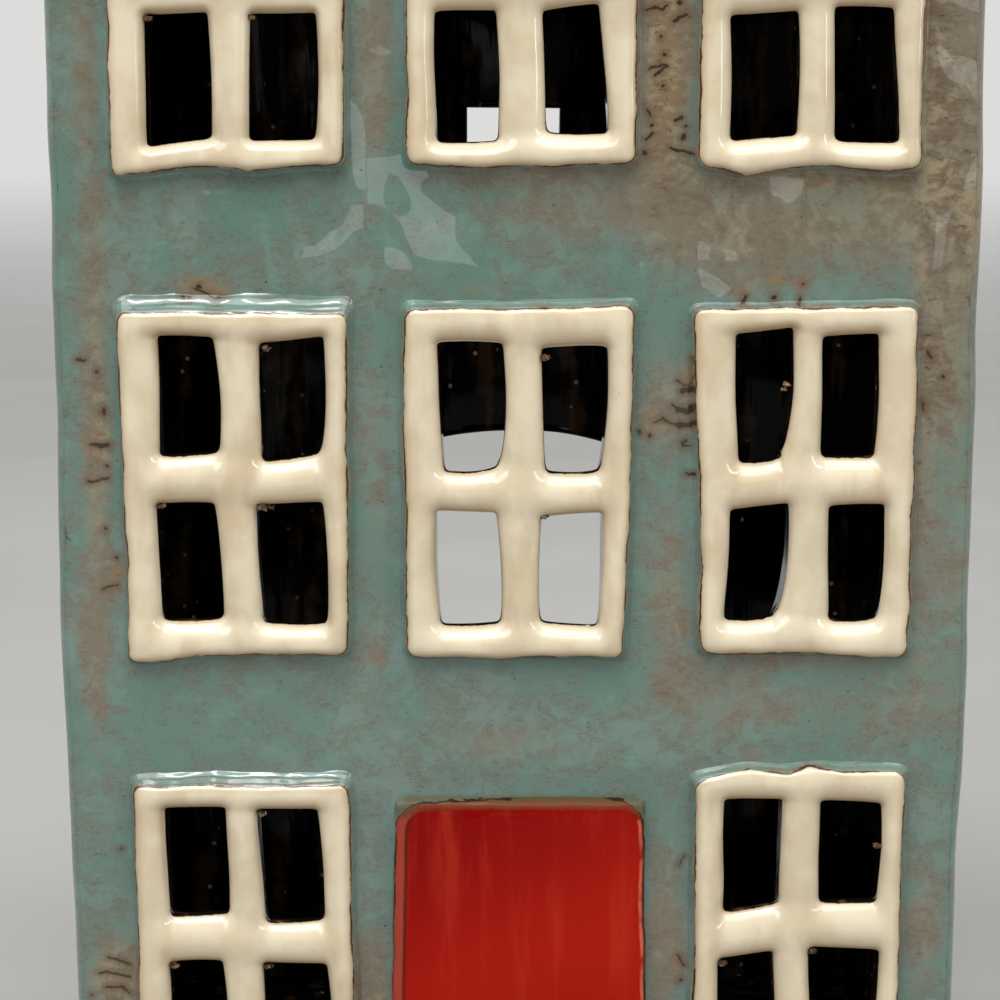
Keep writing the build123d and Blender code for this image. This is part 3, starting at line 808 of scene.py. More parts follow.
def flatCage(cut):
    # where each crossing of the cage lies across and up, from the hand-read corners
    places = {}
    for (startI, startJ), (topLeft, topRight, lowRight, lowLeft) in zip(paneStarts, cut["panes"]):
        bulges = [random.uniform(*bow) for bow in paneBows]
        for a, across in enumerate(reliefSteps["acrossShares"]):
            for b, up in enumerate(reliefSteps["upShares"]):
                point = edgePoint(lowLeft, lowRight, across).lerp(
                    edgePoint(topLeft, topRight, across), up)
                point.x += 4 * up * (1 - up) * (across * bulges[1] - (1 - across) * bulges[0])
                point.y += 4 * across * (1 - across) * (up * bulges[2] - (1 - up) * bulges[3])
                places[startI + a, startJ + b] = point
    for pane, isRight, isTop, pull in cut.get("slumps", ()):
        startI, startJ = paneStarts[pane]
        i, j = startI + 4 * isRight, startJ + 4 * isTop
        inward = Vector((1 - 2 * isRight, 1 - 2 * isTop))
        places[i, j] += pull * inward
        places[i, j + round(inward.y)] += Vector((slumpSpread * pull * inward.x, 0))
        places[i + round(inward.x), j] += Vector((0, slumpSpread * pull * inward.y))
    topLeft, topRight, lowRight, lowLeft, *bends = cut["outline"]
    last = cageCells
    for i in [*range(2, 7), *range(8, 13)]:
        places[i, 7] = (places[i, 6] + places[i, 8]) / 2
        for j, row, left, right in ((last, 12, topLeft, topRight), (0, 2, lowLeft, lowRight)):
            x = places[i, row].x
            share = (x - left[0]) / (right[0] - left[0])
            bend = bends and bends[j == last]
            places[i, j] = Vector((x, heightAlong(bend, x) if bend else edgePoint(left, right, share).y))
        places[i, 1] = (places[i, 0] + places[i, 2]) / 2
        places[i, 13] = (places[i, 12] + places[i, last]) / 2
    for j in range(last + 1):
        places[7, j] = (places[6, j] + places[8, j]) / 2
        for i, column, low, high in ((0, 2, lowLeft, topLeft), (last, 12, lowRight, topRight)):
            z = {0: low[1], last: high[1]}.get(j, places[column, j].y)
            share = (z - low[1]) / (high[1] - low[1])
            places[i, j] = Vector((edgePoint(low, high, share).x, z))
        places[1, j] = (places[0, j] + places[2, j]) / 2
        places[13, j] = (places[12, j] + places[last, j]) / 2
    return places


def heightAlong(points, x):
    # the height of a drawn line of points, from left to right, at x
    for (fromX, fromZ), (toX, toZ) in zip(points, points[1:]):
        if x <= toX:
            share = max(x - fromX, 0) / (toX - fromX)
            return fromZ + (toZ - fromZ) * share
    return points[-1][1]


def outlineGap(x, z, outline, radius):
    # millimetres outside (+) or inside (-) an outline with rounded corners
    topLeft, topRight, lowRight, lowLeft, *bends = outline
    up = (z - lowLeft[1]) / (topLeft[1] - lowLeft[1])
    left = edgePoint(lowLeft, topLeft, up).x
    right = edgePoint(lowRight, topRight, up).x
    across = (x - left) / (right - left)
    low = edgePoint(lowLeft, lowRight, across).y
    high = edgePoint(topLeft, topRight, across).y
    if bends and bends[0]:
        low = heightAlong(bends[0], x)
    if bends and bends[1]:
        high = heightAlong(bends[1], x)
    acrossGap = max(left - x, x - right) + radius
    upGap = max(low - z, z - high) + radius
    return math.hypot(max(acrossGap, 0), max(upGap, 0)) + min(max(acrossGap, upGap), 0) - radius


def reliefCage(name):
    # a flat upright cage of unit cells, whose crossings are moved to their places later
    begin()
    bpy.ops.mesh.primitive_grid_add(x_subdivisions=cageCells, y_subdivisions=cageCells,
                                    size=cageCells, rotation=(math.pi / 2, 0, 0))
    cage = named(name)
    bpy.ops.object.transform_apply(location=True, rotation=True, scale=True)
    return cage


def pullRings():
    # pulls the cage forward one unit for each ring of its side
    bpy.ops.mesh.select_mode(type="FACE")
    bpy.ops.mesh.select_all(action="SELECT")
    for ring in reliefSteps["sideY"][1:]:
        extrudeBy((0, -1, 0))
    bpy.ops.object.mode_set(mode="OBJECT")


def finishRelief(cage, node, outline, wander, slotName, glaze):
    paintBody(cage)
    ragged(cage, outline, wander)
    handMade(cage)
    setShading(cage, 60)
    finishPiece(cage, node, "house", slotName, [glaze])


def outwardStep(i, j, flare, topFlare=1.0):
    # away from the relief's middle; the lip on its top grows upwards only
    return Vector(((i == cageCells) - (i == 0), topFlare * (j == cageCells) - (j == 0))) * flare


def makeWindow(place, cut):
    steps = reliefSteps
    cage = reliefCage(place.replace("_", "") + "Frame")
    bpy.ops.object.mode_set(mode="EDIT")
    half = cageCells / 2
    choose(cage, "FACE", lambda f: 1 < abs(middle(f).x) < half - 2 and 1 < abs(middle(f).z) < half - 2)
    bpy.ops.mesh.delete(type="FACE")
    pullRings()
    places = flatCage(cut)
    last = cageCells

    def settle(co):
        i, j, ring = round(co.x + half), round(co.z + half), round(-co.y)
        point = places[i, j]
        if i in (0, last) or j in (0, last):
            point = point + outwardStep(i, j, steps["flare"][ring], cut.get("topFlare", 1.0))
            y = steps["sideY"][ring]
        elif i in barLines or j in barLines:
            y = steps["sideY"][ring] - (steps["swell"] if ring else 0)
        elif j in sillLines:
            point = point - Vector((0, steps["sillDrop"][ring]))
            y = steps["sillY"][ring]
        else:
            y = steps["paneY"][ring]
        return Vector((point.x, y, point.y)) * mm

    moveVerts(cage, settle)
    addModifier(cage, "SUBSURF", levels=2, render_levels=2)
    applyAll(cage)
    outline = cut["outline"]
    raiseLips(cage, cut)
    addCrumbs(cage, cut)
    paintValue(cage, "colourGap", lambda co: colourGap(co, outline))
    paintValue(cage, "revealGap", lambda co: revealGap(co, outline))
    # how far the surface leans up (+) or down (-), which places the painted light and painted shade on the
    # cream
    paintList(cage, "facing", [v.normal.z for v in cage.data.vertices])
    finishRelief(cage, place + "_window", outline, raggedEdge["wander"], "cream_glaze", creamGlaze)


def raiseLips(cage, cut):
    # a soft ridge round each pane, where the cutter pushed the clay up
    lip = cut.get("lip", lipLook["height"])

    def raised(co):
        if co.y > frontY:
            return co
        far = min(outlineGap(co.x / mm, co.z / mm, pane, lipLook["cornerRound"]) for pane in cut["panes"])
        far -= lipLook["away"]
        return Vector((co.x, co.y - lip * math.exp(-(far / lipLook["width"]) ** 2) * mm, co.z))

    moveVerts(cage, raised)


def addCrumbs(cage, cut):
    # torn bits of clay left in the panes' corners
    look = crumbLook
    count = len(cage.data.vertices)
    workOn(cage)
    bpy.ops.object.mode_set(mode="EDIT")
    for x, z, size in cut.get("crumbs", ()):
        at = (x * mm, reliefY + look["deep"], z * mm)
        bpy.ops.mesh.select_all(action="DESELECT")
        bpy.ops.mesh.primitive_ico_sphere_add(subdivisions=2, radius=size * mm, location=at)
        bpy.ops.transform.resize(value=look["stretch"], center_override=at)
    bpy.ops.object.mode_set(mode="OBJECT")
    for vert in cage.data.vertices[count:]:
        vert.co += Vector([random.uniform(-look["shake"], look["shake"]) * mm for axis in range(3)])
    paintList(cage, "crumb", [float(index >= count) for index in range(len(cage.data.vertices))])


def colourGap(co, outline, radius=reliefSteps["cornerRound"]):
    # millimetres outside the glaze's edge; the glaze goes on over the relief's back
    gap = outlineGap(co.x / mm, co.z / mm, outline, radius)
    return gap if co.y < frontY + 1.5 * mm else max(gap, -4.0)


def revealGap(co, outline):
    # how far past the cream glaze a pane's inner faces are, where the dark one begins
    gap = outlineGap(co.x / mm, co.z / mm, outline, reliefSteps["cornerRound"])
    if gap > -2.5:
        return -4.0 if co.y < insideY - 2 * mm else 4.0
    return (co.y - reliefY) / mm - reliefSteps["creamDepth"]


cutUneven = cloudsOf("cutUneven", raggedEdge["size"])


def ragged(obj, outline, wander):
    # the cut edge wanders a little, more than the clay does
    group = obj.vertex_groups.new(name="edge")
    for vert in obj.data.vertices:
        gap = outlineGap(vert.co.x / mm, vert.co.z / mm, outline, reliefSteps["cornerRound"])
        share = easeBetween(gap, *raggedEdge["gap"]) * easeBetween(-vert.co.y, *raggedEdge["forward"])
        group.add([vert.index], share, "REPLACE")
    uneven(obj, cutUneven, wander * mm, vertex_group="edge")


# Where the body glaze runs thin, in millimetres on the front: across, up, reach across,
# reach up, how much turns taupe, how many dark marks, how blotted
bodyPatches = (
    (26.5, 206, 5.5, 24, 1.15, 0.75, 0.75), (76.5, 205, 7, 32, 0.8, 0.45, 0.1),
    (80, 140, 5, 60, 0.45, 0.2, 0), (60, 177, 30, 11, 0.62, 0.18, 0), (38, 176, 12, 10, 0.4, 0.25, 0),
    (8, 180, 18, 8, 0.48, 0.1, 0), (27, 146, 5, 12, 0.6, 0.15, 0), (27.5, 112, 5, 16, 0.55, 0.25, 0),
    (-75.5, 145, 3.2, 40, 0.75, 0.15, 0), (-76, 205, 3.5, 20, 0.42, 0.3, 0),
    (-60, 168, 10, 5, 0.25, 0.25, 0), (-26, 125, 4, 32, 0.4, 0.25, 0), (-74, 36, 5, 10, 0.9, 0.3, 0),
    (28, 44, 5, 22, 0.62, 0.25, 0), (76, 46, 5, 12, 0.6, 0.45, 0), (-27.5, 30, 4.5, 15, 1.0, 0.2, 0.2),
    (-77, 95, 3.5, 22, 0.45, 0.2, 0), (-66, 180, 10, 6, 0.15, 0.1, 0), (-4, 82, 12, 4, 0.42, 0.1, 0),
    (60, 89, 26, 8, 0.45, 0.12, 0), (-25, 205, 4.5, 26, 0.62, 0.1, 0), (30, 92, 8, 6, 0.35, 0.25, 0),
    (-50, 90, 9, 3, 0.25, 0.1, 0), (-56.5, 165.8, 4.0, 2.0, 0.5, 0.3, 0.95),
    (-52.0, 164.8, 2.0, 1.3, 0.4, 0.2, 0.8), (-7, 165.6, 5.0, 1.8, 0.5, 0.2, 0.55),
    (40.5, 165.4, 1.8, 1.8, 0.5, 0.3, 0.95), (46.6, 167.2, 2.0, 1.8, 0.3, 0.2, 0.95),
    (51.4, 166.0, 1.8, 1.8, 0.4, 0.2, 0.95), (53, 184.4, 4.0, 1.4, 0.4, 0.2, 0.75),
    (66, 183.4, 4.0, 2.0, 0.4, 0, 0.62), (31.0, 148.5, 1.9, 7, 0.3, 0.1, 0.95),
    (24.0, 143, 2.2, 2.6, 0.3, 0.1, 0.75), (27.5, 140.8, 3.5, 1.2, 0.6, 0, 0.35),
    (44, 79, 3.5, 1.4, 0.5, 0.2, 0.5), (30.3, 104, 2.2, 5, 0.3, 0.2, 0.5),
    (-25.5, 97, 3.0, 1.6, 0.3, 0.3, 0.7), (-20.2, 141, 1.2, 5, 0.2, 0, 0.6),
    (76.5, 154, 3.0, 12, 0.3, 0.5, 0.45), (73.5, 135, 2.6, 34, 0.6, 0.4, 0),
    (73.5, 215, 2.6, 34, 0.55, 0.3, 0), (-72.5, 113, 1.8, 4.5, 0.5, 0.3, 0.8),
    (-75.0, 137, 2.5, 7, 0.3, 0.4, 0.55), (30.8, 39, 1.6, 3.0, 0.3, 0.2, 0.9),
    (-75.5, 35, 5.0, 5.0, 0.3, 0, 0.45), (53, 97.2, 20, 1.6, 0.5, 0.2, 0),
    (-50, 97.0, 14, 1.2, 0.5, 0.2, 0.25), (0, 185.5, 20, 1.4, 0.5, 0.3, 0.35),
    (52, 185.0, 18, 1.4, 0.5, 0.3, 0.3),
)
# the same for the other walls: an even share, a slow wave, and more at their corners and foot
wallThin = {"even": 0.18, "wave": 0.30, "corner": 0.45, "foot": 0.3, "marks": 0.7, "most": 1.15,
            "cornerReach": 9 * mm, "footReach": 18}


def thinPlaces(co):
    # how taupe, how marked and how blotted the glaze is at a point
    look = wallThin
    across, up = co.x / mm, co.z / mm
    if co.y < insideY:
        totals = [0.0, 0.0, 0.0]
        for x, z, reachX, reachZ, *amounts in bodyPatches:
            far = ((across - x) / reachX) ** 2 + ((up - z) / reachZ) ** 2
            if far < 5:
                fall = math.exp(-far)
                totals = [total + amount * fall for total, amount in zip(totals, amounts)]
        return [min(total, look["most"]) for total in totals]
    toCorner = max(halfWidth - abs(co.x), -frontY - abs(co.y))
    wave = math.sin(co.y / mm * 0.07 + up * 0.021) * math.sin(across * 0.05 - up * 0.033)
    thin = (look["even"] + look["wave"] * wave
            + look["corner"] * easeBetween(-toCorner, -look["cornerReach"], 0)
            + look["foot"] * easeBetween(-up, -look["footReach"], 0))
    return [thin, look["marks"] * thin, 0.0]


# millimetres: a paler teal round the reliefs, partly glaze pooled there and partly painted light, less at
# their right and foot
poolAndLightLook = {"far": 20.0, "reach": 12, "cornerRound": 2.4, "less": 1.8, "inset": 1.3}


def reliefGap(co):
    # millimetres from the nearest relief, as the pool of glaze and painted light round it sees it
    look = poolAndLightLook
    if co.y > insideY:
        return look["far"]
    x, z, reach = co.x / mm, co.z / mm, look["reach"]
    gaps = [look["far"]]
    for outline in reliefOutlines:
        (left, top), (right, low) = outline[0], outline[2]
        if left - reach < x < right + reach and low - reach < z < top + reach:
            beyond = max(easeBetween(x - right, -1.0, 1.0), easeBetween(low - z, -1.0, 1.0))
            gaps.append(outlineGap(x, z, outline, look["cornerRound"]) + look["less"] * beyond)
    return min(gaps) - look["inset"]


def paintBody(obj):
    places = [thinPlaces(v.co) for v in obj.data.vertices]
    for column, name in enumerate(("taupe", "marks", "blots")):
        paintList(obj, name, [place[column] for place in places])
    paintValue(obj, "reliefGap", reliefGap)


def makeDoor():
    steps, cut = reliefSteps, doorCut
    cage = reliefCage("doorPanel")
    bpy.ops.object.mode_set(mode="EDIT")
    pullRings()
    topLeft, topRight, lowRight, lowLeft = cut["outline"][:4]
    half = cageCells / 2
    last = cageCells

    def settle(co):
        i, j, ring = round(co.x + half), round(co.z + half), round(-co.y)
        across, up = cut["acrossShares"][i], cut["upShares"][j]
        point = edgePoint(lowLeft, lowRight, across).lerp(edgePoint(topLeft, topRight, across), up)
        y = steps["sideY"][max(ring, 1)]
        if i in (0, last) or j in (0, last):
            point += outwardStep(i, j, steps["flare"][ring] * cut["flareShare"])
        elif ring:
            y -= cut["swell"][0] + cut["swell"][1] * math.sin(math.pi * across)
        return Vector((point.x, y, point.y)) * mm

    moveVerts(cage, settle)
    addModifier(cage, "SUBSURF", levels=2, render_levels=2)
    applyAll(cage)
    paintValue(cage, "colourGap", lambda co: colourGap(co, cut["outline"], cut["colourRound"]))
    paintValue(cage, "doorShade", lambda co: easeBetween(co.z - cut["shadeLean"] * co.x, *cut["shade"]))
    paintValue(cage, "doorHead", lambda co: easeBetween(co.z, *cut["head"]))
    paintValue(cage, "doorFace", lambda co: outlineGap(co.x / mm, co.z / mm, cut["face"], cut["faceRound"]))
    finishRelief(cage, "door", cut["outline"], cut["wander"], "red_glaze", redGlaze)


for place, cut in windowCuts.items():
    makeWindow(place, cut)
makeDoor()
print("windows and door made")


# Walls: even sheets of clay, cut, thickened, softened at their corners and made uneven

wallSettings = {
    "cell": 1.6 * mm, "lap": 1.8, "cornerRound": 2.6 * mm, "footInset": 1.2 * mm,
    "footHeight": 100 * mm, "tuck": 1.0 * mm, "overRidge": 3 * mm,
    "cornerWear": (-2.8 * mm, -0.6 * mm), "footWear": (-3.0 * mm, -0.4 * mm),
}
rearOpenings = {"archHalf": 32 * mm, "archSpring": 113 * mm, "archRise": 13.5 * mm,
                "ventHalf": 9.75 * mm, "ventLow": 174.5 * mm, "ventHigh": 194 * mm,
                "rimRound": 1.2 * mm}


def footIn(z):
    return wallSettings["footInset"] * max(0, 1 - z / wallSettings["footHeight"])


def narrowFoot(co):
    pull = footIn(co.z) * easeBetween(abs(co.x), 0.75 * halfWidth, 0.95 * halfWidth)
    return Vector((co.x - math.copysign(pull, co.x), co.y, co.z))


def slopeCut(panel):
    # trims a sheet to the roof's underside, tucked a little way into the slab
    bpy.ops.object.mode_set(mode="EDIT")
    for side in (-1, 1):
        bpy.ops.mesh.select_all(action="SELECT")
        bpy.ops.mesh.bisect(plane_co=(0, 0, ridgeZ + wallSettings["tuck"]),
                            plane_no=(0, side * roofSlope, 1), clear_outer=True)
    bpy.ops.object.mode_set(mode="OBJECT")


def thicken(panel):
    addModifier(panel, "SOLIDIFY", thickness=wallThick, offset=-1, use_even_offset=False)
    applyAll(panel)


def roundUpright(panel, y):
    # softens the two upright corners at this depth
    bpy.ops.object.mode_set(mode="EDIT")
    choose(panel, "EDGE", lambda e: all(
        abs(abs(v.co.x) - halfWidth) < 0.1 * mm and abs(v.co.y - y) < 0.1 * mm for v in e.verts))
    bpy.ops.mesh.bevel(offset=wallSettings["cornerRound"], segments=4, affect="EDGES")
    bpy.ops.object.mode_set(mode="OBJECT")


def followRoof(co, wallTop):
    # a long wall's top slopes with the roof's underside
    if co.z < wallTop - 0.1 * mm:
        return co
    return Vector((co.x, co.y, roofUnder(co.y) + wallSettings["tuck"]))


def edgeWear(co):
    # thin glaze on the body's upright corners and along its foot
    toSide = halfWidth - abs(co.x) - footIn(co.z)
    toFace = -frontY - abs(co.y)
    corner = easeBetween(-max(toSide, 0) - max(toFace, 0), *wallSettings["cornerWear"])
    foot = easeBetween(-co.z, *wallSettings["footWear"])
    return max(corner, foot)


def finishWall(panel, node, isInside):
    paintBody(panel)
    paintValue(panel, "edgeBreak", edgeWear)
    handMade(panel)
    setShading(panel, 40)

    def slotOf(face):
        if face.normal.z < -0.7 and face.center.z < 1 * mm:
            return 2
        return 1 if isInside(face) else 0

    finishPiece(panel, node, "house", "teal_glaze", [tealGlaze, darkGlaze, bareClay], slotOf)


def makeFrontWall():
    height = roofUnder(frontY) + wallSettings["tuck"]
    panel = gridPanel("frontWall", (2 * halfWidth, height), wallSettings["cell"],
                      (0, frontY, height / 2), 0)
    bpy.ops.object.mode_set(mode="EDIT")

    def isHole(face):
        at = middle(face)
        return any(outlineGap(at.x / mm, at.z / mm, cut["outline"], 0.1) < -wallSettings["lap"]
                   for cut in windowCuts.values())

    choose(panel, "FACE", isHole)
    bpy.ops.mesh.delete(type="FACE")
    bpy.ops.object.mode_set(mode="OBJECT")
    thicken(panel)
    roundUpright(panel, frontY)
    moveVerts(panel, lambda co: narrowFoot(followRoof(co, height)))
    finishWall(panel, "front_wall",
               lambda f: f.normal.y > 0.7 and f.center.y > insideY - 1 * mm)


def archPoint(co):
    # the nearest point of the arch's outline
    opening = rearOpenings
    if co.z < opening["archSpring"]:
        return Vector((math.copysign(opening["archHalf"], co.x), co.y, co.z))
    turn = math.atan2((co.z - opening["archSpring"]) / opening["archRise"], co.x / opening["archHalf"])
    return Vector((opening["archHalf"] * math.cos(turn), co.y,
                   opening["archSpring"] + opening["archRise"] * math.sin(turn)))


def inArch(co, grow=0.0):
    opening = rearOpenings
    half = opening["archHalf"] + grow
    rise = opening["archRise"] + grow
    if co.z < opening["archSpring"]:
        return abs(co.x) < half
    return (co.x / half) ** 2 + ((co.z - opening["archSpring"]) / rise) ** 2 < 1


def inVent(co, grow=0.0):
    opening = rearOpenings
    return (abs(co.x) < opening["ventHalf"] + grow
            and opening["ventLow"] - grow < co.z < opening["ventHigh"] + grow)


def ventPoint(co):
    opening = rearOpenings
    return Vector((max(-opening["ventHalf"], min(opening["ventHalf"], co.x)), co.y,
                   max(opening["ventLow"], min(opening["ventHigh"], co.z))))


def makeBackWall():
    height = roofUnder(frontY) + wallSettings["tuck"]
    cell, opening = wallSettings["cell"], rearOpenings
    panel = gridPanel("backWall", (2 * halfWidth, height), cell, (0, -frontY, height / 2), math.pi)
    bpy.ops.object.mode_set(mode="EDIT")
    choose(panel, "FACE", lambda f: inArch(middle(f)) or inVent(middle(f)))
    bpy.ops.mesh.delete(type="FACE")
    # the stepped rims are pulled onto the drawn outlines
    choose(panel, "EDGE", lambda e: e.is_boundary and abs(middle(e).x) < 0.6 * halfWidth
           and middle(e).z < 0.9 * height)
    mesh = bmesh.from_edit_mesh(panel.data)
    between = 0.5 * (opening["ventLow"] + opening["archSpring"] + opening["archRise"])
    for vert in mesh.verts:
        if vert.select and vert.co.z > 0.5 * mm:
            vert.co = ventPoint(vert.co) if vert.co.z > between else archPoint(vert.co)
    for vert in mesh.verts:
        near = (inArch(vert.co, 2.2 * cell) or inVent(vert.co, 1.2 * cell)) and not vert.select
        vert.select_set(near)
    bmesh.update_edit_mesh(panel.data)
    bpy.ops.mesh.vertices_smooth(factor=0.5, repeat=3)
    bpy.ops.object.mode_set(mode="OBJECT")
    thicken(panel)
    roundUpright(panel, -frontY)
    bpy.ops.object.mode_set(mode="EDIT")
    choose(panel, "EDGE", lambda e: abs(middle(e).x) < 0.6 * halfWidth
           and 1 * mm < middle(e).z < 0.9 * height
           and any(abs(f.normal.y) < 0.3 for f in e.link_faces)
           and any(abs(f.normal.y) > 0.9 for f in e.link_faces))
    bpy.ops.mesh.bevel(offset=opening["rimRound"], segments=3, affect="EDGES")
    bpy.ops.object.mode_set(mode="OBJECT")
    moveVerts(panel, lambda co: narrowFoot(followRoof(co, height)))
    finishWall(panel, "back_wall",
               lambda f: f.center.y < -insideY + 1.2 * mm and f.normal.y < 0.2)


def makeGable(side, node):
    height = ridgeZ + wallSettings["overRidge"]
    panel = gridPanel("leftWall" if side < 0 else "rightWall", (-2 * insideY, height),
                      wallSettings["cell"], (side * halfWidth, 0, height / 2), math.pi / 2 * side)
    slopeCut(panel)
    thicken(panel)
    moveVerts(panel, narrowFoot)
    finishWall(panel, node, lambda f: f.normal.x * side < -0.7)


makeFrontWall()
makeBackWall()
makeGable(-1, "left_wall")
makeGable(1, "right_wall")
print("walls made")


# Roof, ridge strip and chimneys

roofLook = {
    "cell": 3.0 * mm, "edgeRound": 1.8 * mm, "roundBeyond": 9 * mm, "wear": (-2.2 * mm, -0.3 * mm),
    "stripHalf": 7 * mm, "stripRise": 3.2 * mm, "stripCell": 1.5 * mm, "stripNarrow": 0.97,
    "stripSink": 1 * mm, "stripWorn": 2 * mm,
}
chimneyLook = {
    "size": (22 * mm, 24 * mm), "wall": 5.5 * mm, "courseLow": 10.5 * mm, "courseHigh": 4.5 * mm,
    "courseOut": 2.2 * mm, "edgeRound": 1.1 * mm, "sink": 1.5 * mm, "worn": 1.6 * mm, "flueShare": 0.3,
}
baseLook = {"cells": (50, 25), "uneven": 0.5 * mm}
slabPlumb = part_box("ridge_strip")[1].z - roofLook["stripRise"] - ridgeZ
eavesReach = -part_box("front_roof")[0].y
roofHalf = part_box("front_roof")[1].x
chimneyX = (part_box("right_chimney")[0].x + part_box("right_chimney")[1].x) / 2
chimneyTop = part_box("right_chimney")[1].z


def roofOver(reach):
    return roofUnder(reach) + slabPlumb


def isSharp(edge):
    return len(edge.link_faces) == 2 and edge.calc_face_angle(0) > math.radians(50)


def faceOut():
    bpy.ops.mesh.select_all(action="SELECT")
    bpy.ops.mesh.normals_make_consistent(inside=False)


def roofWear(co):
    # thin glaze on the slabs' outer edges
    toGable = roofHalf - abs(co.x)
    toEaves = eavesReach - abs(co.y)
    return easeBetween(-min(toGable, toEaves), *roofLook["wear"])


def makeRoof(side, node):
    cell = roofLook["cell"]
    sheet = gridPanel("frontRoof" if side < 0 else "backRoof", (2 * roofHalf, eavesReach), cell,
                      (0, 0, eavesReach / 2), 0)
    moveVerts(sheet, lambda co: Vector((co.x, side * co.z, roofUnder(co.z))))
    bpy.ops.object.mode_set(mode="EDIT")
    flue = chimneyLook["size"][0] / 2 - chimneyLook["wall"]
    choose(sheet, "FACE", lambda f: abs(abs(middle(f).x) - chimneyX) < flue and abs(middle(f).y) < flue)
    bpy.ops.mesh.delete(type="FACE")
    bpy.ops.mesh.select_all(action="SELECT")
    extrudeBy((0, 0, slabPlumb))
    faceOut()
    choose(sheet, "EDGE", lambda e: isSharp(e) and abs(middle(e).y) > roofLook["roundBeyond"])
    bpy.ops.mesh.bevel(offset=roofLook["edgeRound"], segments=3, affect="EDGES")
    bpy.ops.object.mode_set(mode="OBJECT")
    paintValue(sheet, "edgeBreak", roofWear)
    handMade(sheet)
    setShading(sheet, 40)
    finishPiece(sheet, node, "house", "dark_glaze", [slateGlaze])


def makeRidgeStrip():
    look = roofLook
    half = look["stripHalf"]
    fall = roofOver(0) - roofOver(half) + look["stripRise"]
    radius = (half ** 2 + fall ** 2) / (2 * fall)
    spread = math.asin(half / radius)
    top = roofOver(0) + look["stripRise"]
    reach = chimneyX - chimneyLook["size"][0] / 2
    arc = 2 * spread * radius
    strip = gridPanel("ridgeStrip", (2 * reach, arc), look["stripCell"], (0, 0, arc / 2), 0)

    def curled(co):
        turn = (co.z / arc - 0.5) * 2 * spread
        return Vector((co.x, radius * math.sin(turn), top - radius + radius * math.cos(turn)))

    moveVerts(strip, curled)
    bpy.ops.object.mode_set(mode="EDIT")
    bpy.ops.mesh.select_all(action="SELECT")
    extrudeBy((0, 0, -1))
    faceOut()
    bpy.ops.object.mode_set(mode="OBJECT")
    moveVerts(strip, lambda co: co if co.z > 0 else Vector((
        co.x, co.y * look["stripNarrow"], roofOver(co.y) - look["stripSink"])))
    paintValue(strip, "edgeBreak", lambda co: easeBetween(co.z, top - look["stripWorn"], top))
    handMade(strip)
    setShading(strip, 50)
    finishPiece(strip, "ridge_strip", "house", "dark_glaze", [slateGlaze])


def makeChimney(side, node):
    look = chimneyLook
    across, deep = look["size"]
    foot = roofOver(deep / 2) - look["sink"]
    low, high = chimneyTop - look["courseLow"], chimneyTop - look["courseHigh"]
    begin()
    bpy.ops.mesh.primitive_cube_add(size=1, location=(side * chimneyX, 0, (foot + chimneyTop) / 2))
    stack = named("leftChimney" if side < 0 else "rightChimney")
    stack.scale = (across, deep, chimneyTop - foot)
    bpy.ops.object.transform_apply(location=True, rotation=True, scale=True)
    bpy.ops.object.mode_set(mode="EDIT")
    choose(stack, "FACE", lambda f: abs(f.normal.z) > 0.5)
    bpy.ops.mesh.delete(type="ONLY_FACE")
    for height in (low, high):
        bpy.ops.mesh.select_all(action="SELECT")
        bpy.ops.mesh.bisect(plane_co=(0, 0, height), plane_no=(0, 0, 1))
    bpy.ops.mesh.select_all(action="SELECT")
    bpy.ops.mesh.bisect(plane_co=(0, 0, 0), plane_no=(0, 1, 0))
    bpy.ops.object.mode_set(mode="OBJECT")
    addModifier(stack, "SOLIDIFY", thickness=look["wall"], offset=-1, use_even_offset=True)
    applyAll(stack)
    bpy.ops.object.mode_set(mode="EDIT")

    def onCourse(face):
        at = middle(face)
        outward = (at.x - side * chimneyX) * face.normal.x + at.y * face.normal.y
        return low < at.z < high and outward > across / 2 - 1 * mm

    choose(stack, "FACE", onCourse)
    bpy.ops.mesh.extrude_region_shrink_fatten(TRANSFORM_OT_shrink_fatten={"value": look["courseOut"]})
    choose(stack, "EDGE", lambda e: isSharp(e) and middle(e).z > foot + 0.1 * mm)
    bpy.ops.mesh.bevel(offset=look["edgeRound"], segments=3, affect="EDGES")
    bpy.ops.object.mode_set(mode="OBJECT")
    moveVerts(stack, lambda co: co if co.z > foot + 0.1 * mm
              else Vector((co.x, co.y, roofOver(co.y) - look["sink"])))
    addModifier(stack, "SUBSURF", subdivision_type="SIMPLE", levels=3, render_levels=3)
    applyAll(stack)
    paintBody(stack)
    paintValue(stack, "edgeBreak", lambda co: easeBetween(co.z, chimneyTop - look["worn"], chimneyTop))
    handMade(stack)
    setShading(stack, 40)

    def slotOf(face):
        out = max(abs(face.center.x - side * chimneyX) / across, abs(face.center.y) / deep)
        return 1 if out < look["flueShare"] else 0

    finishPiece(stack, node, "house", "teal_glaze", [tealGlaze, darkGlaze], slotOf)


def makeBase():
    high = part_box("base")[1]
    begin()
    bpy.ops.mesh.primitive_grid_add(x_subdivisions=baseLook["cells"][0],
                                    y_subdivisions=baseLook["cells"][1], size=1)
    slab = named("baseSlab")
    slab.scale = (2 * high.x, 2 * high.y, 1)
    bpy.ops.object.transform_apply(location=True, rotation=True, scale=True)
    bpy.ops.object.mode_set(mode="EDIT")
    bpy.ops.mesh.select_all(action="SELECT")
    extrudeBy((0, 0, high.z))
    faceOut()
    bpy.ops.object.mode_set(mode="OBJECT")
    handMade(slab, baseLook["uneven"])
    setShading(slab, 40)
    finishPiece(slab, "base", "house", "bare_clay", [bareClay, darkGlaze],
                lambda face: 1 if face.normal.z > 0.5 else 0)


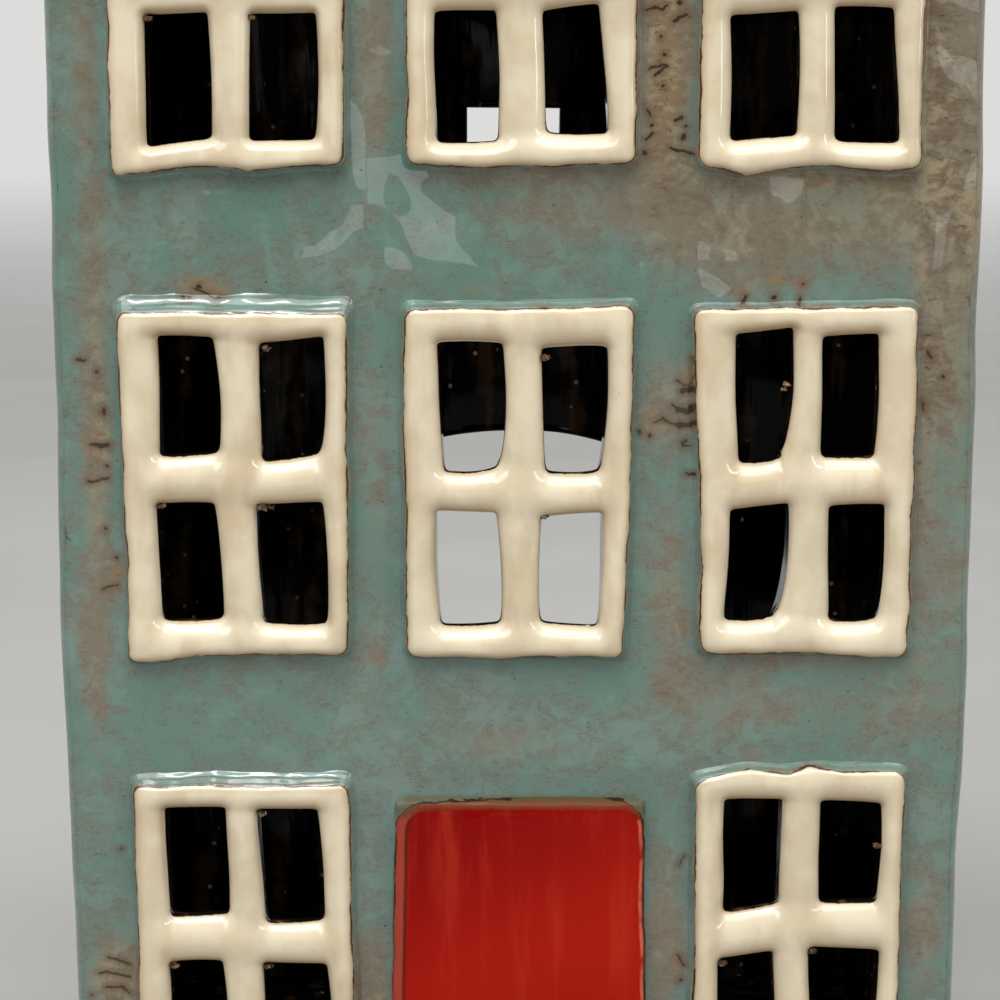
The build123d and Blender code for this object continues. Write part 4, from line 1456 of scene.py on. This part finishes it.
for side, nodes in ((-1, ("front_roof", "left_chimney")), (1, ("back_roof", "right_chimney"))):
    makeRoof(side, nodes[0])
    makeChimney(side, nodes[1])
makeRidgeStrip()
makeBase()
print("roof, chimneys and base made")


# Tealight: turned pieces, and a short bent wick

tealightLook = {
    "radius": 18.2 * mm, "lip": 19.4 * mm, "height": 15.5 * mm, "foil": 0.3 * mm, "waxTop": 12.9 * mm,
    "wickRadius": 0.8 * mm, "wickBare": 7.3 * mm, "wickLean": 0.10, "wickRound": 0.3 * mm, "turns": 72,
}
foilLook = {"metal": (0.86, 0.86, 0.87, 1), "rough": (0.2, 0.36), "drawn": 0.5 * mm, "stretch": 0.08,
            "dents": 5 * mm}
waxLook = {"wax": (0.86, 0.85, 0.81), "pale": (0.92, 0.91, 0.88), "bloom": 3 * mm, "rough": 0.42,
           "soft": 0.35, "softReach": 4 * mm, "softRadius": (1.0, 0.8, 0.6), "specular": 0.4}
steelLook = {"metal": (0.6, 0.6, 0.6, 1), "rough": (0.25, 0.45), "scuff": 1.2 * mm}
cottonLook = {"cotton": (0.62, 0.59, 0.52), "pale": (0.88, 0.86, 0.80), "rough": 0.8, "sheen": 0.2,
              "braid": 900.0}


def turned(name, profile):
    # a profile of (radius, height), drawn point by point from one vertex and spun about Z
    begin()
    bpy.ops.mesh.primitive_plane_add(size=1)
    piece = named(name)
    bpy.ops.object.mode_set(mode="EDIT")
    bpy.ops.mesh.select_mode(type="VERT")
    bpy.ops.mesh.select_all(action="SELECT")
    bpy.ops.mesh.merge(type="CENTER")
    bpy.ops.transform.translate(value=(profile[0][0], 0, profile[0][1]))
    for (fromR, fromZ), (toR, toZ) in zip(profile, profile[1:]):
        extrudeBy((toR - fromR, 0, toZ - fromZ))
    bpy.ops.mesh.select_all(action="SELECT")
    bpy.ops.mesh.spin(steps=tealightLook["turns"], angle=2 * math.pi, center=(0, 0, 0), axis=(0, 0, 1))
    bpy.ops.mesh.select_all(action="SELECT")
    bpy.ops.mesh.remove_doubles(threshold=0.001 * mm)
    bpy.ops.mesh.normals_make_consistent(inside=False)
    bpy.ops.object.mode_set(mode="OBJECT")
    return piece


def makeFoil():
    look = foilLook
    material, tree, shader = newMaterial("foil", {"Metallic": 1.0, "Base Color": look["metal"]})
    place = placeOf(tree)
    drawn = noiseOf(tree, squeezed(tree, place, look["stretch"]), look["drawn"], 3.0, 0.6)
    dents = noiseOf(tree, place, look["dents"], 2.0, 0.5)
    finishLook(tree, shader, None, sumOf(tree, (drawn, 0.02), (dents, 0.12)),
               easeOf(tree, drawn, 0.3, 0.7, *look["rough"]))
    return material


def makeWaxLook():
    look = waxLook
    material, tree, shader = newMaterial("wax", {
        "Roughness": look["rough"], "Subsurface Weight": look["soft"],
        "Subsurface Scale": look["softReach"], "Subsurface Radius": look["softRadius"],
        "Specular IOR Level": look["specular"]})
    bloom = noiseOf(tree, placeOf(tree), look["bloom"], 4.0, 0.6)
    base = blendOf(tree, easeOf(tree, bloom, 0.35, 0.65), look["wax"], look["pale"])
    finishLook(tree, shader, base, sumOf(tree, (bloom, 0.10)))
    return material


def makeSteel():
    look = steelLook
    material, tree, shader = newMaterial("tabSteel", {"Metallic": 1.0, "Base Color": look["metal"]})
    scuff = noiseOf(tree, placeOf(tree), look["scuff"], 4.0, 0.6)
    finishLook(tree, shader, rough=easeOf(tree, scuff, 0.3, 0.7, *look["rough"]))
    return material


def makeCotton():
    look = cottonLook
    material, tree, shader = newMaterial("wickCotton", {
        "Roughness": look["rough"], "Sheen Weight": look["sheen"]})
    braid = addNode(tree, "TexWave", {"bands_direction": "DIAGONAL"}, {
        "Vector": placeOf(tree), "Scale": look["braid"], "Distortion": 1.5}).outputs["Fac"]
    finishLook(tree, shader, blendOf(tree, braid, look["cotton"], look["pale"]),
               sumOf(tree, (braid, 0.08)))
    return material


def makeTealight():
    look = tealightLook
    low, foil, lip, side = baseTop + 0.05 * mm, look["foil"], look["lip"], look["radius"]
    top = low + look["height"] - 0.1 * mm
    wax = low + look["waxTop"]
    cup = turned("tealightCup", [
        (0, low + 0.5 * mm), (side - 3.2 * mm, low + 0.5 * mm), (side - 2.4 * mm, low),
        (side - 0.5 * mm, low), (side, low + 0.5 * mm),
        (lip - 0.55 * mm, top - 0.55 * mm), (lip - 0.1 * mm, top - 0.45 * mm),
        (lip, top - 0.2 * mm), (lip - 0.15 * mm, top), (lip - 0.5 * mm, top - 0.05 * mm),
        (lip - 0.6 * mm - foil, top - 0.6 * mm), (side - foil, low + 0.8 * mm), (0, low + 0.8 * mm)])
    body = turned("tealightWax", [
        (0, low + 0.9 * mm), (side - foil - 0.1 * mm, low + 0.9 * mm), (side + 0.05 * mm, wax - 0.2 * mm),
        (side - 0.05 * mm, wax + 0.25 * mm), (side - 0.6 * mm, wax), (side - 3 * mm, wax - 0.25 * mm),
        (9 * mm, wax - 0.2 * mm), (5 * mm, wax - 0.45 * mm), (2 * mm, wax - 1.0 * mm),
        (0.9 * mm, wax - 0.8 * mm), (0.7 * mm, wax - 0.4 * mm), (0, wax - 0.4 * mm)])
    tab = turned("wickTab", [
        (0, low + 0.3 * mm), (6.1 * mm, low + 0.3 * mm), (6.3 * mm, low + 0.45 * mm),
        (6.1 * mm, low + 0.6 * mm), (1.9 * mm, low + 0.6 * mm), (1.5 * mm, low + 0.9 * mm),
        (1.45 * mm, low + 3.4 * mm), (0.8 * mm, low + 3.5 * mm), (0, low + 3.5 * mm)])
    begin()
    wickTop = wax + look["wickBare"]
    bpy.ops.mesh.primitive_cylinder_add(
        vertices=16, radius=look["wickRadius"], depth=wickTop - low - 1 * mm,
        location=(0, 0, (wickTop + low + 1 * mm) / 2))
    wick = named("tealightWick")
    bpy.ops.object.transform_apply(location=True, rotation=True, scale=True)
    bpy.ops.object.mode_set(mode="EDIT")
    for share in range(1, 12):
        bpy.ops.mesh.select_all(action="SELECT")
        bpy.ops.mesh.bisect(plane_co=(0, 0, wax + (wickTop - wax) * (share / 12 - 0.1)), plane_no=(0, 0, 1))
    choose(wick, "EDGE", lambda e: isSharp(e) and middle(e).z > wax)
    bpy.ops.mesh.bevel(offset=look["wickRound"], segments=2, affect="EDGES")
    bpy.ops.object.mode_set(mode="OBJECT")

    def bent(co):
        lean = max(co.z - wax, 0) ** 2 / (wickTop - wax) * look["wickLean"]
        return Vector((co.x + lean, co.y + 0.4 * lean, co.z))

    moveVerts(wick, bent)
    for piece, node, slotName, material, angle in (
            (cup, "tealight_cup", "foil", makeFoil(), 30),
            (body, "tealight_wax", "wax", makeWaxLook(), 60),
            (tab, "wick_tab", "tab_steel", makeSteel(), 30),
            (wick, "tealight_wick", "wick_cotton", makeCotton(), 40)):
        setShading(piece, angle)
        finishPiece(piece, node, "tealight", slotName, [material])


makeTealight()
print("tealight made")


# Stage, lights and camera

stageLook = {"floor": (0.43, 0.426, 0.414), "soft": (0.40, 0.396, 0.385), "sky": (0.90, 0.90, 0.89),
             "front": 0.27, "back": 0.80, "frontTurn": (-0.88, -0.20), "fade": (0.7, 3.2),
             "cloud": 0.12, "rough": 0.75, "specular": 0.25, "size": 60}
# the photograph's view: metres, degrees below level, and the lens in millimetres
cameraView = {"place": (-2.7 * mm, -525 * mm, 216 * mm), "down": 10.5, "lens": 97.2}
# area lights: the glow times the area gives the power; the pane lamps only glint inside
lamps = {
    "key": {"at": (-0.80, -1.00, 1.00), "aim": (0, 0, 0.14), "size": (0.60, 0.60), "glow": 4.0},
    "overhead": {"at": (0.0, -0.50, 1.25), "aim": (0, -0.05, 0.1), "size": (1.4, 0.9), "glow": 3.5},
    "slit": {"at": (-0.20, -0.52, 1.22), "aim": (0, -0.05, 0.1), "size": (0.10, 0.45), "glow": 20.0},
    "side": {"at": (1.1, -0.75, 0.55), "aim": (0, 0, 0.15), "size": (0.12, 0.9), "glow": 9.0},
    "paneHigh": {"at": (-0.088, -1.40, 0.19), "aim": (0, 0, 0.18), "size": (0.04, 0.15), "glow": 2.1},
    "paneLeft": {"at": (-0.11, -1.40, 0.06), "aim": (0, 0, 0.18), "size": (0.05, 0.05), "glow": 2.1},
    "paneMiddle": {"at": (-0.04, -1.40, 0.12), "aim": (0, 0, 0.18), "size": (0.05, 0.06), "glow": 2.1},
    "paneRight": {"at": (0.30, -1.40, 0.06), "aim": (0, 0, 0.18), "size": (0.05, 0.06), "glow": 2.1},
    "paneEnd": {"at": (0.35, -1.40, 0.16), "aim": (0, 0, 0.18), "size": (0.04, 0.08), "glow": 2.1},
}


def skyStrength(tree, place):
    # a pale room, dimmer on the side that faces the house's front
    turn = addNode(tree, "VectorMath", {"operation": "NORMALIZE"}, {0: place}).outputs[0]
    return easeOf(tree, axisOf(tree, turn, "Y"), *stageLook["frontTurn"],
                  stageLook["front"], stageLook["back"])


def makeStage():
    look = stageLook
    begin()
    bpy.ops.mesh.primitive_plane_add(size=look["size"])
    floor = named("floor")
    material, tree, shader = newMaterial("paleFloor", {
        "Roughness": look["rough"], "Specular IOR Level": look["specular"]})
    place = placeOf(tree)
    soft = noiseOf(tree, place, look["cloud"], 3.0, 0.5)
    finishLook(tree, shader, blendOf(tree, easeOf(tree, soft, 0.3, 0.7), look["floor"], look["soft"]))
    # far away the floor fades into the room, so no horizon shows
    far = addNode(tree, "VectorMath", {"operation": "LENGTH"}, {0: place}).outputs["Value"]
    path = addNode(tree, "LightPath")
    seen = mathOf(tree, "MAXIMUM", path.outputs["Is Glossy Ray"], path.outputs["Is Transmission Ray"])
    seen = mathOf(tree, "MAXIMUM", path.outputs["Is Camera Ray"], seen)
    fade = timesOf(tree, seen, easeOf(tree, far, *look["fade"]))
    glow = addNode(tree, "Emission", None, {
        "Color": colour(look["sky"]), "Strength": skyStrength(tree, place)})
    mixed = addNode(tree, "MixShader", None, {0: fade, 1: shader.outputs[0], 2: glow.outputs[0]})
    out = next(node for node in tree.nodes if node.type == "OUTPUT_MATERIAL")
    tree.links.new(mixed.outputs[0], out.inputs[0])
    floor.data.materials.append(material)
    world = bpy.data.worlds.new("paleRoom")
    scene.world = world
    world.use_nodes = True
    tree = world.node_tree
    tree.nodes.clear()
    place = addNode(tree, "TexCoord").outputs["Generated"]
    backdrop = addNode(tree, "Background", None, {
        "Color": colour(look["sky"]), "Strength": skyStrength(tree, place)})
    out = addNode(tree, "OutputWorld")
    tree.links.new(backdrop.outputs[0], out.inputs[0])


def makeLamps():
    for name, lamp in lamps.items():
        light = bpy.data.lights.new(name, "AREA")
        light.shape = "RECTANGLE"
        light.size, light.size_y = lamp["size"]
        light.energy = lamp["glow"] * lamp["size"][0] * lamp["size"][1] * math.pi
        holder = bpy.data.objects.new(name, light)
        holder.location = lamp["at"]
        aim = Vector(lamp["aim"]) - Vector(lamp["at"])
        holder.rotation_euler = aim.to_track_quat("-Z", "Y").to_euler()
        scene.collection.objects.link(holder)


def makeCamera():
    camera = bpy.data.objects.new("camera", bpy.data.cameras.new("camera"))
    camera.data.lens = cameraView["lens"]
    camera.data.sensor_width = 36
    camera.location = cameraView["place"]
    camera.rotation_euler = (math.radians(90 - cameraView["down"]), 0, 0)
    camera.data.clip_start = 0.01
    camera.data.clip_end = 100
    scene.collection.objects.link(camera)
    scene.camera = camera


makeStage()
makeLamps()
makeCamera()
scene.view_settings.view_transform = "Standard"
print("stage made")
